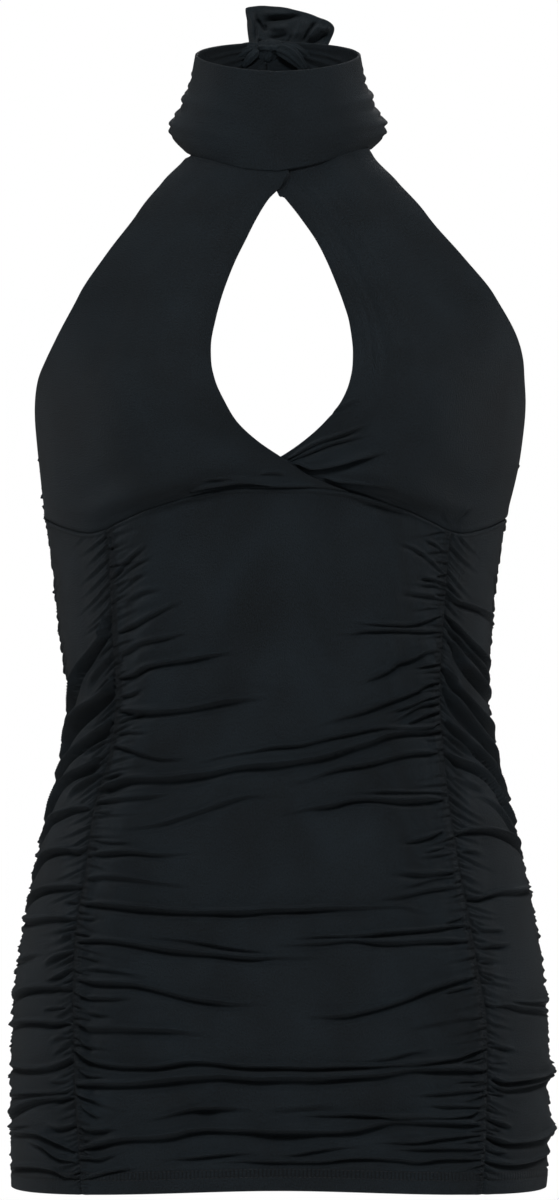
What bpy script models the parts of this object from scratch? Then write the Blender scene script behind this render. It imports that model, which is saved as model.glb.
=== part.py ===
"""A black jersey halter neck tunic top, hollow as when it is worn.

Four ruched body panels hang from two crossed cups. Each cup runs up as a halter strap into
a wide neck band, which narrows towards the nape and is closed there by a knot with two ends.

Lengths are millimetres until make_object turns them into metres. Heights are measured up
from the front hem. A turn is the angle about the upright axis in degrees: 0 at the centre
front (-Y), +90 on the +X side, 180 at the centre back. Left and right are as seen from the
front, so left is -X.
"""

import bpy
import numpy as np

MM = 0.001
NECK_HOLD_HEIGHT = 650.0  # the origin: the middle of the ring that goes round the neck

CLOTH_WALL = 1.5  # one layer of gathered jersey
BAND_WALL = 2.0  # the neck band and the ties are doubled
SEAM_GAP = 0.3
UNDER_LAYER_STEP = 2.3  # how far the right cup lies under the left one where they cross
UNDER_LAYER_TURNS = (38.0, 26.0)  # it sinks between these turns
BODY_ROUNDNESS = 2.3  # power of the superellipse of a girth section
NECK_ROUNDNESS = 2.1

# Girth sections of the worn body, from the hem to the neck. Lean moves a section sideways.
SECTION_COLUMNS = ("height", "half_width", "front", "back", "lean")
SECTIONS = (
    (-12, 162.5, 107, 116, -1.0),
    (0, 163.5, 108, 118, -0.5),
    (40, 164.5, 109, 123, 0.0),
    (75, 164.0, 108, 125, 0.0),
    (110, 162.5, 106, 122, 0.0),
    (150, 157.0, 102, 113, 0.0),
    (190, 149.0, 97, 103, 0.0),
    (230, 139.0, 93, 94, 0.0),
    (260, 131.0, 90.5, 88, 0.0),
    (291, 128.0, 89, 85, -0.5),
    (327, 131.5, 91, 87, -2.5),
    (364, 135.0, 94.5, 92, -3.0),
    (400, 140.5, 98, 96, -2.5),
    (437, 147.0, 101, 99, -0.5),
    (474, 151.0, 99, 100, 0.0),
    (511, 155.0, 92, 98, 0.0),
    (535, 154.0, 85, 92, 0.0),
    (560, 140.0, 76, 84, 0.0),
    (584, 115.0, 66, 70, 0.0),
    (604, 84.0, 57, 58, 0.0),
    (624, 60.0, 51, 52, 0.0),
    (650, 57.0, 50, 52, 0.0),
)

# The two mounds of the cups, and how much of them the cloth between them keeps.
BUST_RISE = 23.0
BUST_APEX_ACROSS = 78.0
BUST_APEX_HEIGHT = 458.0
BUST_SPREAD_ACROSS = 46.0
BUST_SPREAD_UP = 52.0
BUST_SPREAD_DOWN = 33.0
BUST_BRIDGE = 0.45
BUST_WRAP = 3.0  # the mounds keep their full rise until this times the cosine of the turn is 1

HEM_FRONT_HEIGHT = 1.3
HEM_SIDE_DROP = 7.3
SIDE_SEAM_TURN = 91.0
UNDERARM_HEIGHT = 440.0
BACK_TOP_DIP = 11.0

# Where the princess seams run, as turns on the left and on the right.
PRINCESS_COLUMNS = ("height", "left", "right")
PRINCESS_SEAMS = (
    (-12, -55.0, 56.6),
    (0, -55.4, 57.0),
    (45, -56.7, 57.4),
    (99, -58.3, 58.2),
    (127, -59.3, 57.2),
    (163, -60.3, 56.4),
    (186, -60.1, 55.9),
    (219, -60.8, 55.6),
    (260, -58.6, 56.2),
    (300, -56.8, 56.6),
    (341, -55.4, 57.0),
    (390, -54.2, 56.4),
    (410, -54.0, 56.2),
)

# The seam under the cups: lowest over the princess seams, highest in the middle.
UNDER_BUST_COLUMNS = ("turn_out", "height")
UNDER_BUST_SEAM = (
    (0, 417.0),
    (10, 417.0),
    (21, 415.0),
    (39, 406.0),
    (50, 397.0),
    (55, 392.5),
    (60, 390.5),
    (69, 393.5),
    (80, 398.5),
    (100, 402.0),
)

# Free edges of the cups, from the under-bust seam up to the neck band.
EDGE_COLUMNS = ("turn", "height")
LEFT_CUP_INNER = (
    (23.5, 414.8),
    (10.0, 425.0),
    (0.7, 435.5),
    (-8.0, 446.0),
    (-14.7, 457.4),
    (-18.7, 469.3),
    (-21.8, 481.2),
    (-23.6, 493.3),
    (-24.2, 505.4),
    (-23.6, 517.5),
    (-22.7, 529.7),
    (-21.2, 541.9),
    (-19.1, 554.1),
    (-16.0, 566.4),
    (-12.4, 578.7),
    (-6.7, 591.5),
    (0.5, 600.0),
    (5.0, 608.8),
)
RIGHT_CUP_INNER = (
    (-23.0, 414.8),
    (-10.0, 425.0),
    (0.7, 435.7),
    (8.4, 445.7),
    (15.3, 457.4),
    (20.3, 469.3),
    (23.2, 481.2),
    (24.8, 493.3),
    (25.4, 505.4),
    (25.2, 517.5),
    (24.1, 529.7),
    (22.4, 541.9),
    (20.3, 554.1),
    (17.2, 566.4),
    (11.6, 579.5),
    (3.0, 593.5),
    (-4.0, 601.0),
    (-9.0, 608.8),
)
LEFT_CUP_OUTER = (
    (-91.0, 401.0),
    (-91.0, 420.0),
    (-91.0, 440.0),
    (-88.0, 452.0),
    (-82.5, 469.0),
    (-77.0, 484.0),
    (-72.2, 495.7),
    (-68.8, 507.4),
    (-64.4, 531.0),
    (-62.0, 555.0),
    (-60.6, 580.0),
    (-63.4, 600.0),
    (-65.6, 611.0),
    (-67.0, 622.3),
)
RIGHT_CUP_OUTER = (
    (91.0, 401.0),
    (91.0, 420.0),
    (91.0, 440.0),
    (88.6, 452.0),
    (84.0, 469.0),
    (79.2, 484.0),
    (76.8, 496.0),
    (74.0, 507.9),
    (68.4, 531.0),
    (64.4, 555.0),
    (61.8, 580.0),
    (63.6, 600.0),
    (65.2, 611.0),
    (67.0, 622.3),
)

# A fold is a trough with a soft ridge over it, along a curve through three points.
FOLD_COLUMNS = ("turn_a", "height_a", "turn_b", "height_b", "turn_c", "height_c", "depth", "spread")
FRONT_FOLDS = (
    (-54, 362, -51, 370, -46, 378, 1.2, 4.0),
    (-53, 344, -49, 350, -39, 358, 1.3, 4.0),
    (-55, 333, -43, 341, -35, 348, 1.4, 4.0),
    (-55, 305, -39, 312, -9, 319, 2.0, 4.5),
    (-56, 283, -29, 287, 1, 292, 2.2, 4.5),
    (-57, 259, -39, 257, -29, 256, 1.4, 4.0),
    (-59, 242, -41, 247, -24, 253, 1.5, 4.0),
    (-58, 232, -38, 236, -11, 245, 1.6, 4.5),
    (-55, 213, -31, 221, -1, 234, 1.8, 4.5),
    (-60, 197, -44, 192, -23, 193, 1.4, 4.0),
    (-50, 185, -33, 181, -13, 176, 1.2, 4.0),
    (-58, 172, -3, 168, 54, 176, 2.8, 4.5),
    (-58, 148, -25, 141, 16, 140, 2.2, 4.5),
    (-57, 126, -35, 119, -7, 110, 2.2, 4.5),
    (-56, 94, -38, 94, -20, 93, 1.6, 5.0),
    (-56, 80, 0, 72, 56, 80, 3.0, 4.0),
    (-54, 67, -8, 67, 42, 69, 2.4, 3.6),
    (-50, 45, 2, 47, 56, 46, 2.2, 4.0),
    (-54, 29, -21, 39, 13, 44, 1.6, 4.0),
    (-54, 9, -4, 25, 56, 26, 1.6, 4.5),
    (55, 350, 48, 353, 40, 355, 1.2, 4.0),
    (56, 333, 38, 333, 19, 333, 1.4, 4.0),
    (55, 320, 47, 316, 38, 311, 1.4, 4.0),
    (56, 301, 50, 298, 41, 292, 1.6, 4.0),
    (56, 280, 15, 265, -45, 248, 3.0, 4.5),
    (53, 231, 29, 233, 1, 223, 1.6, 4.5),
    (54, 152, 35, 149, 4, 148, 1.8, 4.5),
    (57, 126, 39, 113, 19, 104, 2.0, 4.5),
)
LEFT_FOLDS = (
    (-57, 343, -63, 325, -80, 298, 2.0, 4.5),
    (-58, 304, -69, 279, -85, 263, 2.6, 4.5),
    (-59, 278, -67, 264, -87, 247, 2.2, 4.5),
    (-62, 255, -69, 247, -80, 240, 1.4, 4.0),
    (-62, 226, -71, 223, -87, 212, 2.0, 4.5),
    (-61, 202, -70, 199, -87, 187, 1.6, 4.0),
    (-61, 179, -71, 177, -90, 165, 2.0, 4.5),
    (-61, 160, -69, 160, -86, 152, 1.4, 4.0),
    (-61, 141, -66, 134, -78, 124, 1.4, 4.0),
    (-59, 118, -67, 118, -86, 110, 2.0, 4.0),
    (-60, 97, -68, 98, -86, 92, 2.0, 4.0),
    (-59, 76, -66, 70, -82, 66, 1.5, 4.0),
    (-58, 55, -66, 51, -84, 40, 1.6, 4.0),
    (-57, 19, -66, 28, -80, 36, 1.6, 4.0),
)
RIGHT_FOLDS = (
    (57, 356, 63, 349, 79, 341, 1.4, 4.0),
    (57, 336, 64, 322, 81, 308, 2.0, 4.5),
    (58, 315, 65, 300, 82, 286, 2.4, 4.5),
    (58, 297, 65, 281, 80, 256, 2.4, 4.5),
    (59, 274, 67, 262, 86, 246, 2.2, 4.5),
    (59, 254, 69, 247, 86, 228, 2.0, 4.5),
    (62, 236, 74, 227, 87, 212, 1.6, 4.0),
    (57, 211, 71, 211, 89, 199, 2.4, 4.5),
    (57, 173, 68, 175, 88, 172, 2.0, 4.0),
    (58, 144, 66, 142, 80, 141, 1.3, 4.0),
    (61, 108, 70, 108, 88, 105, 2.0, 4.0),
    (61, 62, 70, 60, 88, 66, 2.6, 4.0),
    (59, 41, 66, 36, 78, 33, 1.4, 4.0),
    (59, 29, 68, 25, 88, 31, 2.4, 4.0),
)
BACK_FOLDS = (
    (93, 398, 110, 392, 140, 390, 1.3, 4.5),
    (93, 372, 108, 358, 128, 350, 1.6, 4.5),
    (93, 343, 118, 328, 160, 318, 2.2, 4.5),
    (93, 306, 112, 296, 138, 292, 1.8, 4.5),
    (93, 281, 130, 268, 196, 262, 2.6, 4.5),
    (93, 238, 115, 238, 150, 243, 1.8, 4.5),
    (93, 205, 124, 200, 170, 204, 2.2, 4.5),
    (93, 166, 120, 160, 152, 158, 1.8, 4.5),
    (93, 128, 140, 118, 210, 120, 2.6, 4.5),
    (93, 84, 122, 82, 158, 88, 2.0, 4.5),
    (93, 47, 130, 44, 190, 48, 2.0, 4.5),
    (267, 389, 252, 379, 226, 374, 1.4, 4.5),
    (267, 360, 246, 344, 205, 338, 2.0, 4.5),
    (267, 322, 250, 308, 228, 300, 1.7, 4.5),
    (267, 252, 238, 236, 178, 226, 2.4, 4.5),
    (267, 219, 246, 214, 220, 216, 1.6, 4.5),
    (267, 184, 236, 174, 176, 178, 2.4, 4.5),
    (267, 148, 250, 146, 226, 150, 1.6, 4.5),
    (267, 100, 240, 92, 196, 94, 2.2, 4.5),
    (267, 66, 246, 66, 214, 72, 1.8, 4.5),
    (267, 26, 244, 22, 206, 26, 1.8, 4.5),
)
CUP_FOLDS = (
    (14, 446, 23, 451, 34, 455, 0.9, 4.0),
    (5, 433, 14, 439, 30, 448, 1.2, 4.0),
    (12, 428, 22, 433, 38, 438, 1.1, 4.0),
    (25, 422, 31, 422, 42, 423, 0.9, 4.0),
    (-24, 428, -14, 424, -4, 423, 0.9, 4.0),
    (-8, 427, 0, 422, 12, 421, 0.9, 3.5),
)

# Small gathers along each ruched seam: spacing, depth, how far they reach, slant.
GATHER_SPREAD = 4.2
GATHER_SPACING = (14.0, 19.0)
GATHER_DEPTH = (0.7, 1.8)
GATHER_REACH = (8.0, 20.0)
GATHER_SLANT = (-0.35, 0.35)
GATHER_PUFF = 0.5  # the cloth beside a ruched seam swells by this share of the mean depth
GATHER_COLUMNS = ("seam", "seed", "low", "high")
GATHERED_SEAMS = (
    ("princess_left", 11, 6, 388),
    ("princess_right", 12, 10, 388),
    ("side_left", 13, 4, 392),
    ("side_right", 14, 8, 392),
)
SEAM_DIP = 0.9
SEAM_DIP_REACH = 3.0
FOLD_START = 5.0  # a fold grows to full depth this far from its seam
FOLD_END_SHARE = 0.45  # the last part of a fold's length, where it fades out
FOLD_TAIL_SHARE = 0.15  # how much of its depth is left there
FOLD_TAIL_REACH = 2.0  # the tail dies away over this many spreads
RIDGE_SHARE = 0.55  # the ridge over a trough: its height, its place and its width in spreads
RIDGE_OFFSET = 1.7
RIDGE_WIDTH = 1.1

# The neck band: its edges go up from the front to the nape, its sides are slouched.
BAND_EDGE_COLUMNS = ("turn_out", "bottom", "top")
BAND_EDGES = (
    (0, 609.0, 669.0),
    (20, 610.5, 670.3),
    (31, 613.5, 672.0),
    (46, 617.5, 674.5),
    (60, 621.0, 677.5),
    (75, 624.0, 681.0),
    (90, 627.0, 684.0),
    (120, 641.0, 690.0),
    (145, 660.0, 694.0),
    (165, 669.0, 696.0),
    (185, 672.0, 697.5),
)
BAND_SECTION_COLUMNS = ("level", "half_width", "front", "back")
BAND_SECTIONS = (
    (0.00, 57.5, 55.5, 52.0),
    (0.10, 63.5, 55.2, 52.5),
    (0.18, 66.3, 54.9, 53.0),
    (0.27, 66.3, 54.6, 53.0),
    (0.37, 61.7, 54.2, 53.0),
    (0.45, 58.8, 53.8, 53.0),
    (0.54, 58.2, 53.4, 53.0),
    (0.64, 54.6, 52.8, 53.0),
    (0.75, 53.2, 52.0, 53.0),
    (1.00, 50.6, 50.0, 52.5),
)
BAND_LEAN = -1.3
BAND_START_TURN = -163.6  # its ends meet the sides of the knot
BAND_END_TURN = 179.2
BAND_CLOSING_TURN = 7.9  # below the knot each end goes on this far, and they meet
BAND_CLOSING_LEVELS = (0.62, 0.42)
BAND_GATHER_TURNS = (118.0, 170.0)  # between these turns the band is drawn into long folds
BAND_GATHER_DEPTH = 1.3
BAND_GATHER_WAVES = 3.0
BAND_CREASE_COLUMNS = ("level", "deepest_turn", "half_length", "depth")
BAND_CREASES = (
    (0.34, 84, 30, 1.6),
    (0.52, 96, 26, 1.2),
    (0.68, 104, 30, 1.0),
    (0.30, -88, 28, 1.4),
    (0.47, -80, 24, 1.3),
    (0.62, -98, 30, 1.0),
)
BAND_CREASE_SPREAD = 0.055

KNOT_CENTRE = (-8.3, 57.0, 691.2)
KNOT_HALF = (7.2, 7.0, 6.7)
KNOT_RIDGES = 3
KNOT_RIDGE_DEPTH = 0.7

# The end that stands up: a fan of pleats round the knot. Angles are from +X, anticlockwise.
FAN_COLUMNS = ("angle", "reach")
FAN_OUTLINE = (
    (2, 35.0),
    (13, 40.5),
    (22, 44.8),
    (37, 38.5),
    (62, 31.5),
    (86, 29.8),
    (104, 30.4),
    (114, 31.0),
    (121, 23.5),
    (140, 14.5),
    (158, 11.0),
)
FAN_ROOT = 7.6
FAN_PLANE = 58.0
FAN_PLEAT_COLUMNS = ("angle", "push", "spread")
FAN_PLEATS = (
    (20, -2.4, 5.0),
    (31, 2.2, 6.0),
    (42, -2.6, 6.0),
    (62, 2.8, 10.0),
    (80, -2.4, 8.0),
    (96, 2.4, 7.0),
    (110, -2.6, 5.0),
)
FAN_LEAN_BACK = 5.0

HANGING_TIE_LENGTH = 66.0
HANGING_TIE_TOP_WIDTH = 15.0
HANGING_TIE_WIDTH = 36.0
HANGING_TIE_SLANT = 9.0
HANGING_TIE_FOLD = 2.2
HANGING_TIE_FOLDS = 2.5
HANGING_TIE_WIDENS_BY = 0.75  # the share of its length where it has its full width
HANGING_TIE_FOLDS_BY = 0.4
HANGING_TIE_BEHIND = 4.0
HANGING_TIE_BOW = 5.0
HANGING_TIE_BOW_TURN = 108.0  # degrees of a sine wave over its length

# Grids: columns across and rows up each piece.
FRONT_GRID = (14, 71)
SIDE_GRID = (6, 71)
BACK_GRID = (15, 71)
CUP_ROWS = 26
BAND_GRID = (52, 9)
KNOT_GRID = (16, 9)
FAN_GRID = (22, 5)
HANGING_TIE_GRID = (9, 8)
CUP_EDGE_MARGIN = 1.5  # degrees without a column beside a cup's free edge
CUP_COLUMN_STEP = 1.0  # columns closer than this many degrees count as one
SHARP_ANGLE = 50.0

COLOURS = {
    "jersey": (0.012, 0.013, 0.015, 1.0),
    "band": (0.013, 0.014, 0.016, 1.0),
}
ROUGHNESS = 0.78


def column(table, columns, name):
    return np.array([row[columns.index(name)] for row in table], float)


def named_rows(table, columns):
    return [dict(zip(columns, row)) for row in table]


def smooth(xs, ys, x):
    """A curve through the points (xs, ys) that doesn't overshoot them."""
    steps = np.diff(xs)
    slopes = np.diff(ys) / steps
    inner = slopes[1:] * slopes[:-1]
    tangents = np.zeros(len(ys))
    sums = np.where(inner > 0, slopes[1:] + slopes[:-1], 1.0)
    tangents[1:-1] = np.where(inner > 0, 2 * inner / sums, 0.0)
    tangents[0] = slopes[0]
    tangents[-1] = slopes[-1]
    x = np.clip(x, xs[0], xs[-1])
    i = np.clip(np.searchsorted(xs, x, side="right") - 1, 0, len(xs) - 2)
    t = (x - xs[i]) / steps[i]
    return (
        (1 + 2 * t) * (1 - t) ** 2 * ys[i]
        + t * (1 - t) ** 2 * steps[i] * tangents[i]
        + t * t * (3 - 2 * t) * ys[i + 1]
        + t * t * (t - 1) * steps[i] * tangents[i + 1]
    )


def ramp(low, high, x):
    """0 at low, 1 at high, with soft ends; low may be the larger one."""
    t = np.clip((x - low) / (high - low), 0.0, 1.0)
    return t * t * (3 - 2 * t)


def superellipse(turn, half_width, front, back, power):
    """The radius of a section at a turn in degrees."""
    sine = np.sin(np.radians(turn))
    cosine = np.cos(np.radians(turn))
    depth = np.where(cosine > 0, front, back)
    total = np.abs(cosine / depth) ** power + np.abs(sine / half_width) ** power
    return total ** (-1 / power)


def bust_rise(x, height):
    bump = np.exp(-(((np.abs(x) - BUST_APEX_ACROSS) / BUST_SPREAD_ACROSS) ** 2))
    between = BUST_BRIDGE + (1 - BUST_BRIDGE) * bump
    across = np.where(np.abs(x) < BUST_APEX_ACROSS, between, bump)
    spread = np.where(height > BUST_APEX_HEIGHT, BUST_SPREAD_UP, BUST_SPREAD_DOWN)
    return BUST_RISE * across * np.exp(-(((height - BUST_APEX_HEIGHT) / spread) ** 2))


def body_point(turn, height):
    """A point of the smooth body that the panels and the cups lie on."""
    turn, height = np.broadcast_arrays(np.asarray(turn, float), np.asarray(height, float))
    heights = column(SECTIONS, SECTION_COLUMNS, "height")
    sizes = {
        name: smooth(heights, column(SECTIONS, SECTION_COLUMNS, name), height)
        for name in SECTION_COLUMNS[1:]
    }
    radius = superellipse(turn, sizes["half_width"], sizes["front"], sizes["back"], BODY_ROUNDNESS)
    x = radius * np.sin(np.radians(turn))
    y = -radius * np.cos(np.radians(turn))
    facing = np.clip(BUST_WRAP * np.cos(np.radians(turn)), 0, 1)
    return np.stack([x + sizes["lean"], y - bust_rise(x, height) * facing, height], axis=-1)


def unit(vectors):
    return vectors / np.linalg.norm(vectors, axis=-1, keepdims=True)


def body_normal(turn, height):
    step = 0.5
    around = body_point(turn + step, height) - body_point(turn - step, height)
    up = body_point(turn, height + step) - body_point(turn, height - step)
    return unit(np.cross(around, up))


def girth_per_degree(turn, height):
    """Millimetres round the body for one degree of turn."""
    return np.linalg.norm(body_point(turn + 0.5, height) - body_point(turn - 0.5, height), axis=-1)


def fold_relief(
    turn, height, turn_a, height_a, turn_b, height_b, turn_c, height_c, depth, spread
):
    """How far one row of a fold table pushes the cloth out (+) or in (-)."""
    along = np.clip((turn - turn_a) / (turn_c - turn_a), 0, 1)
    middle = (turn_b - turn_a) / (turn_c - turn_a)
    bend = (height_b - height_a - (height_c - height_a) * middle) / (middle * (middle - 1))
    line = height_a + (height_c - height_a) * along + bend * along * (along - 1)
    beside = (height - line) / spread
    per_degree = girth_per_degree(turn, height)
    before = np.clip((turn_a - turn) * np.sign(turn_c - turn_a), 0, None) * per_degree
    after = np.clip((turn - turn_c) * np.sign(turn_c - turn_a), 0, None) * per_degree
    fade = FOLD_TAIL_SHARE + (1 - FOLD_TAIL_SHARE) * ramp(1.0, 1 - FOLD_END_SHARE, along)
    fade = fade * np.exp(-((before / spread) ** 2) - (after / (FOLD_TAIL_REACH * spread)) ** 2)
    trough = np.exp(-(beside**2))
    ridge = RIDGE_SHARE * np.exp(-(((beside - RIDGE_OFFSET) / RIDGE_WIDTH) ** 2))
    return depth * fade * (ridge - trough)


def gather_rows(seed, low, high):
    """Irregular small gathers along one seam: height, depth, reach and slant of each."""
    rng = np.random.default_rng(seed)
    rows = []
    height = low
    while height < high:
        depth = rng.uniform(*GATHER_DEPTH)
        reach = rng.uniform(*GATHER_REACH)
        slant = rng.uniform(*GATHER_SLANT)
        rows.append((height, depth, reach, slant))
        height += rng.uniform(*GATHER_SPACING)
    return rows


def gather_relief(distance, height, rows):
    relief = np.zeros_like(height)
    for centre, depth, reach, slant in rows:
        beside = (height - centre - slant * distance) / GATHER_SPREAD
        relief -= depth * np.exp(-(beside**2)) * np.exp(-((distance / reach) ** 2))
    puff = GATHER_PUFF * np.mean(GATHER_DEPTH)
    return relief + puff * np.exp(-((distance / np.mean(GATHER_REACH)) ** 2))


def princess_turn(side, height):
    heights = column(PRINCESS_SEAMS, PRINCESS_COLUMNS, "height")
    return smooth(heights, column(PRINCESS_SEAMS, PRINCESS_COLUMNS, side), height)


def princess_left(height):
    return princess_turn("left", height)


def princess_right(height):
    return princess_turn("right", height)


def under_bust_height(turn):
    turns = column(UNDER_BUST_SEAM, UNDER_BUST_COLUMNS, "turn_out")
    return smooth(turns, column(UNDER_BUST_SEAM, UNDER_BUST_COLUMNS, "height"), np.abs(turn))


def hem_height(turn):
    return HEM_FRONT_HEIGHT - HEM_SIDE_DROP * np.sin(np.radians(turn)) ** 2


def back_top_height(turn):
    return UNDERARM_HEIGHT - BACK_TOP_DIP * np.cos(np.radians(180 - turn)) ** 2


def side_turn(sign):
    return lambda height: np.asarray(height, float) * 0 + sign * SIDE_SEAM_TURN


SEAM_TURNS = {
    "princess_left": princess_left,
    "princess_right": princess_right,
    "side_left": side_turn(-1),
    "side_right": side_turn(1),
}
SEAM_GATHERS = {
    row["seam"]: gather_rows(row["seed"], row["low"], row["high"])
    for row in named_rows(GATHERED_SEAMS, GATHER_COLUMNS)
}


def panel_relief(turn, height, folds, seam_names):
    """The folds of one panel and the gathers along its two ruched seams."""
    relief = np.zeros_like(height)
    for fold in named_rows(folds, FOLD_COLUMNS):
        relief += fold_relief(turn, height, **fold)
    for name in seam_names:
        apart = np.abs((turn - SEAM_TURNS[name](height) + 180) % 360 - 180)
        distance = apart * girth_per_degree(turn, height)
        relief *= ramp(0, FOLD_START, distance)
        relief += gather_relief(distance, height, SEAM_GATHERS[name])
        relief -= SEAM_DIP * np.exp(-((distance / SEAM_DIP_REACH) ** 2))
    return relief


def end_shares(count):
    """Shares from 0 to 1 that lie closer together at both ends."""
    return 0.5 - 0.5 * np.cos(np.pi * np.linspace(0, 1, count))


def coons(bottom, top, left, right, across, up):
    """The (turn, height) grid inside four rows of points, at the given shares across and up."""
    u = across[None, :, None]
    v = up[:, None, None]
    ruled_up = (1 - v) * bottom[None] + v * top[None]
    ruled_across = (1 - u) * left[:, None] + u * right[:, None]
    low = (1 - u) * bottom[0] + u * bottom[-1]
    high = (1 - u) * top[0] + u * top[-1]
    return ruled_up + ruled_across - (1 - v) * low - v * high


def along_edge(table, count):
    """Points (turn, height) evenly spaced along a free edge."""
    turns = column(table, EDGE_COLUMNS, "turn")
    heights = column(table, EDGE_COLUMNS, "height")
    steps = np.linalg.norm(np.diff(body_point(turns, heights), axis=0), axis=1)
    run = np.concatenate([[0], np.cumsum(steps)])
    at = np.linspace(0, run[-1], count)
    return np.stack([smooth(run, turns, at), smooth(run, heights, at)], axis=1)


def stretch(start, end, shares):
    return start + (end - start) * shares


def make_material(name, colour):
    material = bpy.data.materials.new(name)
    material.use_nodes = True
    shader = material.node_tree.nodes["Principled BSDF"]
    shader.inputs["Base Color"].default_value = COLOURS[colour]
    shader.inputs["Roughness"].default_value = ROUGHNESS
    shader.inputs["Metallic"].default_value = 0.0
    return material


def make_object(name, points, faces, colour, holder):
    mesh = bpy.data.meshes.new(name)
    mesh.from_pydata((points * MM).tolist(), [], faces)
    mesh.materials.append(make_material(name, colour))
    mesh.shade_smooth()
    mesh.set_sharp_from_angle(angle=np.radians(SHARP_ANGLE))
    obj = bpy.data.objects.new(name, mesh)
    bpy.context.scene.collection.objects.link(obj)
    obj.parent = holder


def make_cloth(name, outer, inner, colour, holder):
    """One closed wall from two grids of points, joined by rims along their four edges."""
    rows, columns = outer.shape[:2]
    count = rows * columns
    index = np.arange(count).reshape(rows, columns).tolist()
    faces = []
    for low, high in zip(index[:-1], index[1:]):
        for a, b, c, d in zip(low[:-1], low[1:], high[1:], high[:-1]):
            faces.append((a, b, c, d))
            faces.append((d + count, c + count, b + count, a + count))
    left = [row[0] for row in index]
    right = [row[-1] for row in index]
    for rim in (index[0][::-1], index[-1], left, right[::-1]):
        for a, b in zip(rim[:-1], rim[1:]):
            faces.append((a, b, b + count, a + count))
    points = np.concatenate([outer.reshape(-1, 3), inner.reshape(-1, 3)])
    make_object(name, points, faces, colour, holder)


PANEL_COLUMNS = ("grid", "left_seam", "right_seam", "top_height", "folds")
PANELS = {
    "front_panel": (FRONT_GRID, "princess_left", "princess_right", under_bust_height, FRONT_FOLDS),
    "side_front_left": (SIDE_GRID, "side_left", "princess_left", under_bust_height, LEFT_FOLDS),
    "side_front_right": (SIDE_GRID, "princess_right", "side_right", under_bust_height, RIGHT_FOLDS),
    "back_panel": (BACK_GRID, "side_right", "side_left", back_top_height, BACK_FOLDS),
}


def panel_edge(seam, inward, top_height, up):
    """One seam edge of a panel, set in by half the seam's gap. Its turn is -180 to 180."""
    seam_turn = SEAM_TURNS[seam]
    inset = inward * SEAM_GAP / 2 / girth_per_degree(seam_turn(0.0), 0.0)
    low = hem_height(seam_turn(0.0) + inset)
    high = top_height(seam_turn(UNDERARM_HEIGHT) + inset) - SEAM_GAP / 2
    heights = stretch(low, high, up)
    return np.stack([seam_turn(heights) + inset, heights], axis=1)


def panel_place(name):
    """The (turn, height) grid of a panel."""
    panel = dict(zip(PANEL_COLUMNS, PANELS[name]))
    columns, rows = panel["grid"]
    top_height = panel["top_height"]
    across = end_shares(columns)
    up = np.linspace(0, 1, rows)
    left = panel_edge(panel["left_seam"], 1, top_height, up)
    right = panel_edge(panel["right_seam"], -1, top_height, up)
    if right[0, 0] < left[0, 0]:
        right[:, 0] += 360
    low_turns = stretch(left[0, 0], right[0, 0], across)
    high_turns = stretch(left[-1, 0], right[-1, 0], across)
    bottom = np.stack([low_turns, hem_height(low_turns)], axis=1)
    top = np.stack([high_turns, top_height(high_turns) - SEAM_GAP / 2], axis=1)
    return coons(bottom, top, left, right, across, up)


def make_panel(name, holder):
    panel = dict(zip(PANEL_COLUMNS, PANELS[name]))
    turn, height = np.moveaxis(panel_place(name), -1, 0)
    normals = body_normal(turn, height)
    relief = panel_relief(turn, height, panel["folds"], (panel["left_seam"], panel["right_seam"]))
    outer = body_point(turn, height) + relief[..., None] * normals
    make_cloth(name, outer, outer - CLOTH_WALL * normals, "jersey", holder)


def cup_turns(low, high):
    """Turns along the under-bust seam that match the columns of the panels below it."""
    below = ("side_front_left", "front_panel", "side_front_right")
    turns = np.concatenate([panel_place(name)[-1, :, 0] for name in below])
    inside = [turn for turn in turns if low + CUP_EDGE_MARGIN < turn < high - CUP_EDGE_MARGIN]
    kept = [turn for turn, before in zip(inside, [low, *inside]) if turn - before > CUP_COLUMN_STEP]
    return np.array([low, *kept, high])


def make_cup(name, holder, outer_edge, inner_edge, is_under):
    """A cup with its halter strap, from the under-bust seam up to the neck band."""
    half_gap = SEAM_GAP / 2
    edges = [along_edge(edge, CUP_ROWS) for edge in (outer_edge, inner_edge)]
    left, right = sorted(edges, key=lambda edge: edge[0, 0])
    low_turns = cup_turns(left[0, 0], right[0, 0])
    across = (low_turns - low_turns[0]) / (low_turns[-1] - low_turns[0])
    up = np.linspace(0, 1, CUP_ROWS)
    high_turns = stretch(left[-1, 0], right[-1, 0], across)
    bottom = np.stack([low_turns, under_bust_height(low_turns) + half_gap], axis=1)
    top = np.stack([high_turns, band_edge("bottom", high_turns) - half_gap], axis=1)
    left[0], right[0], left[-1], right[-1] = bottom[0], bottom[-1], top[0], top[-1]
    turn, height = np.moveaxis(coons(bottom, top, left, right, across, up), -1, 0)
    normals = body_normal(turn, height)
    relief = sum(fold_relief(turn, height, **fold) for fold in named_rows(CUP_FOLDS, FOLD_COLUMNS))
    if is_under:
        relief = relief - UNDER_LAYER_STEP * ramp(*UNDER_LAYER_TURNS, turn)
    outer = body_point(turn, height) + relief[..., None] * normals
    make_cloth(name, outer, outer - CLOTH_WALL * normals, "jersey", holder)


def band_edge(name, turn):
    turns = column(BAND_EDGES, BAND_EDGE_COLUMNS, "turn_out")
    return smooth(turns, column(BAND_EDGES, BAND_EDGE_COLUMNS, name), np.abs(turn))


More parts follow.
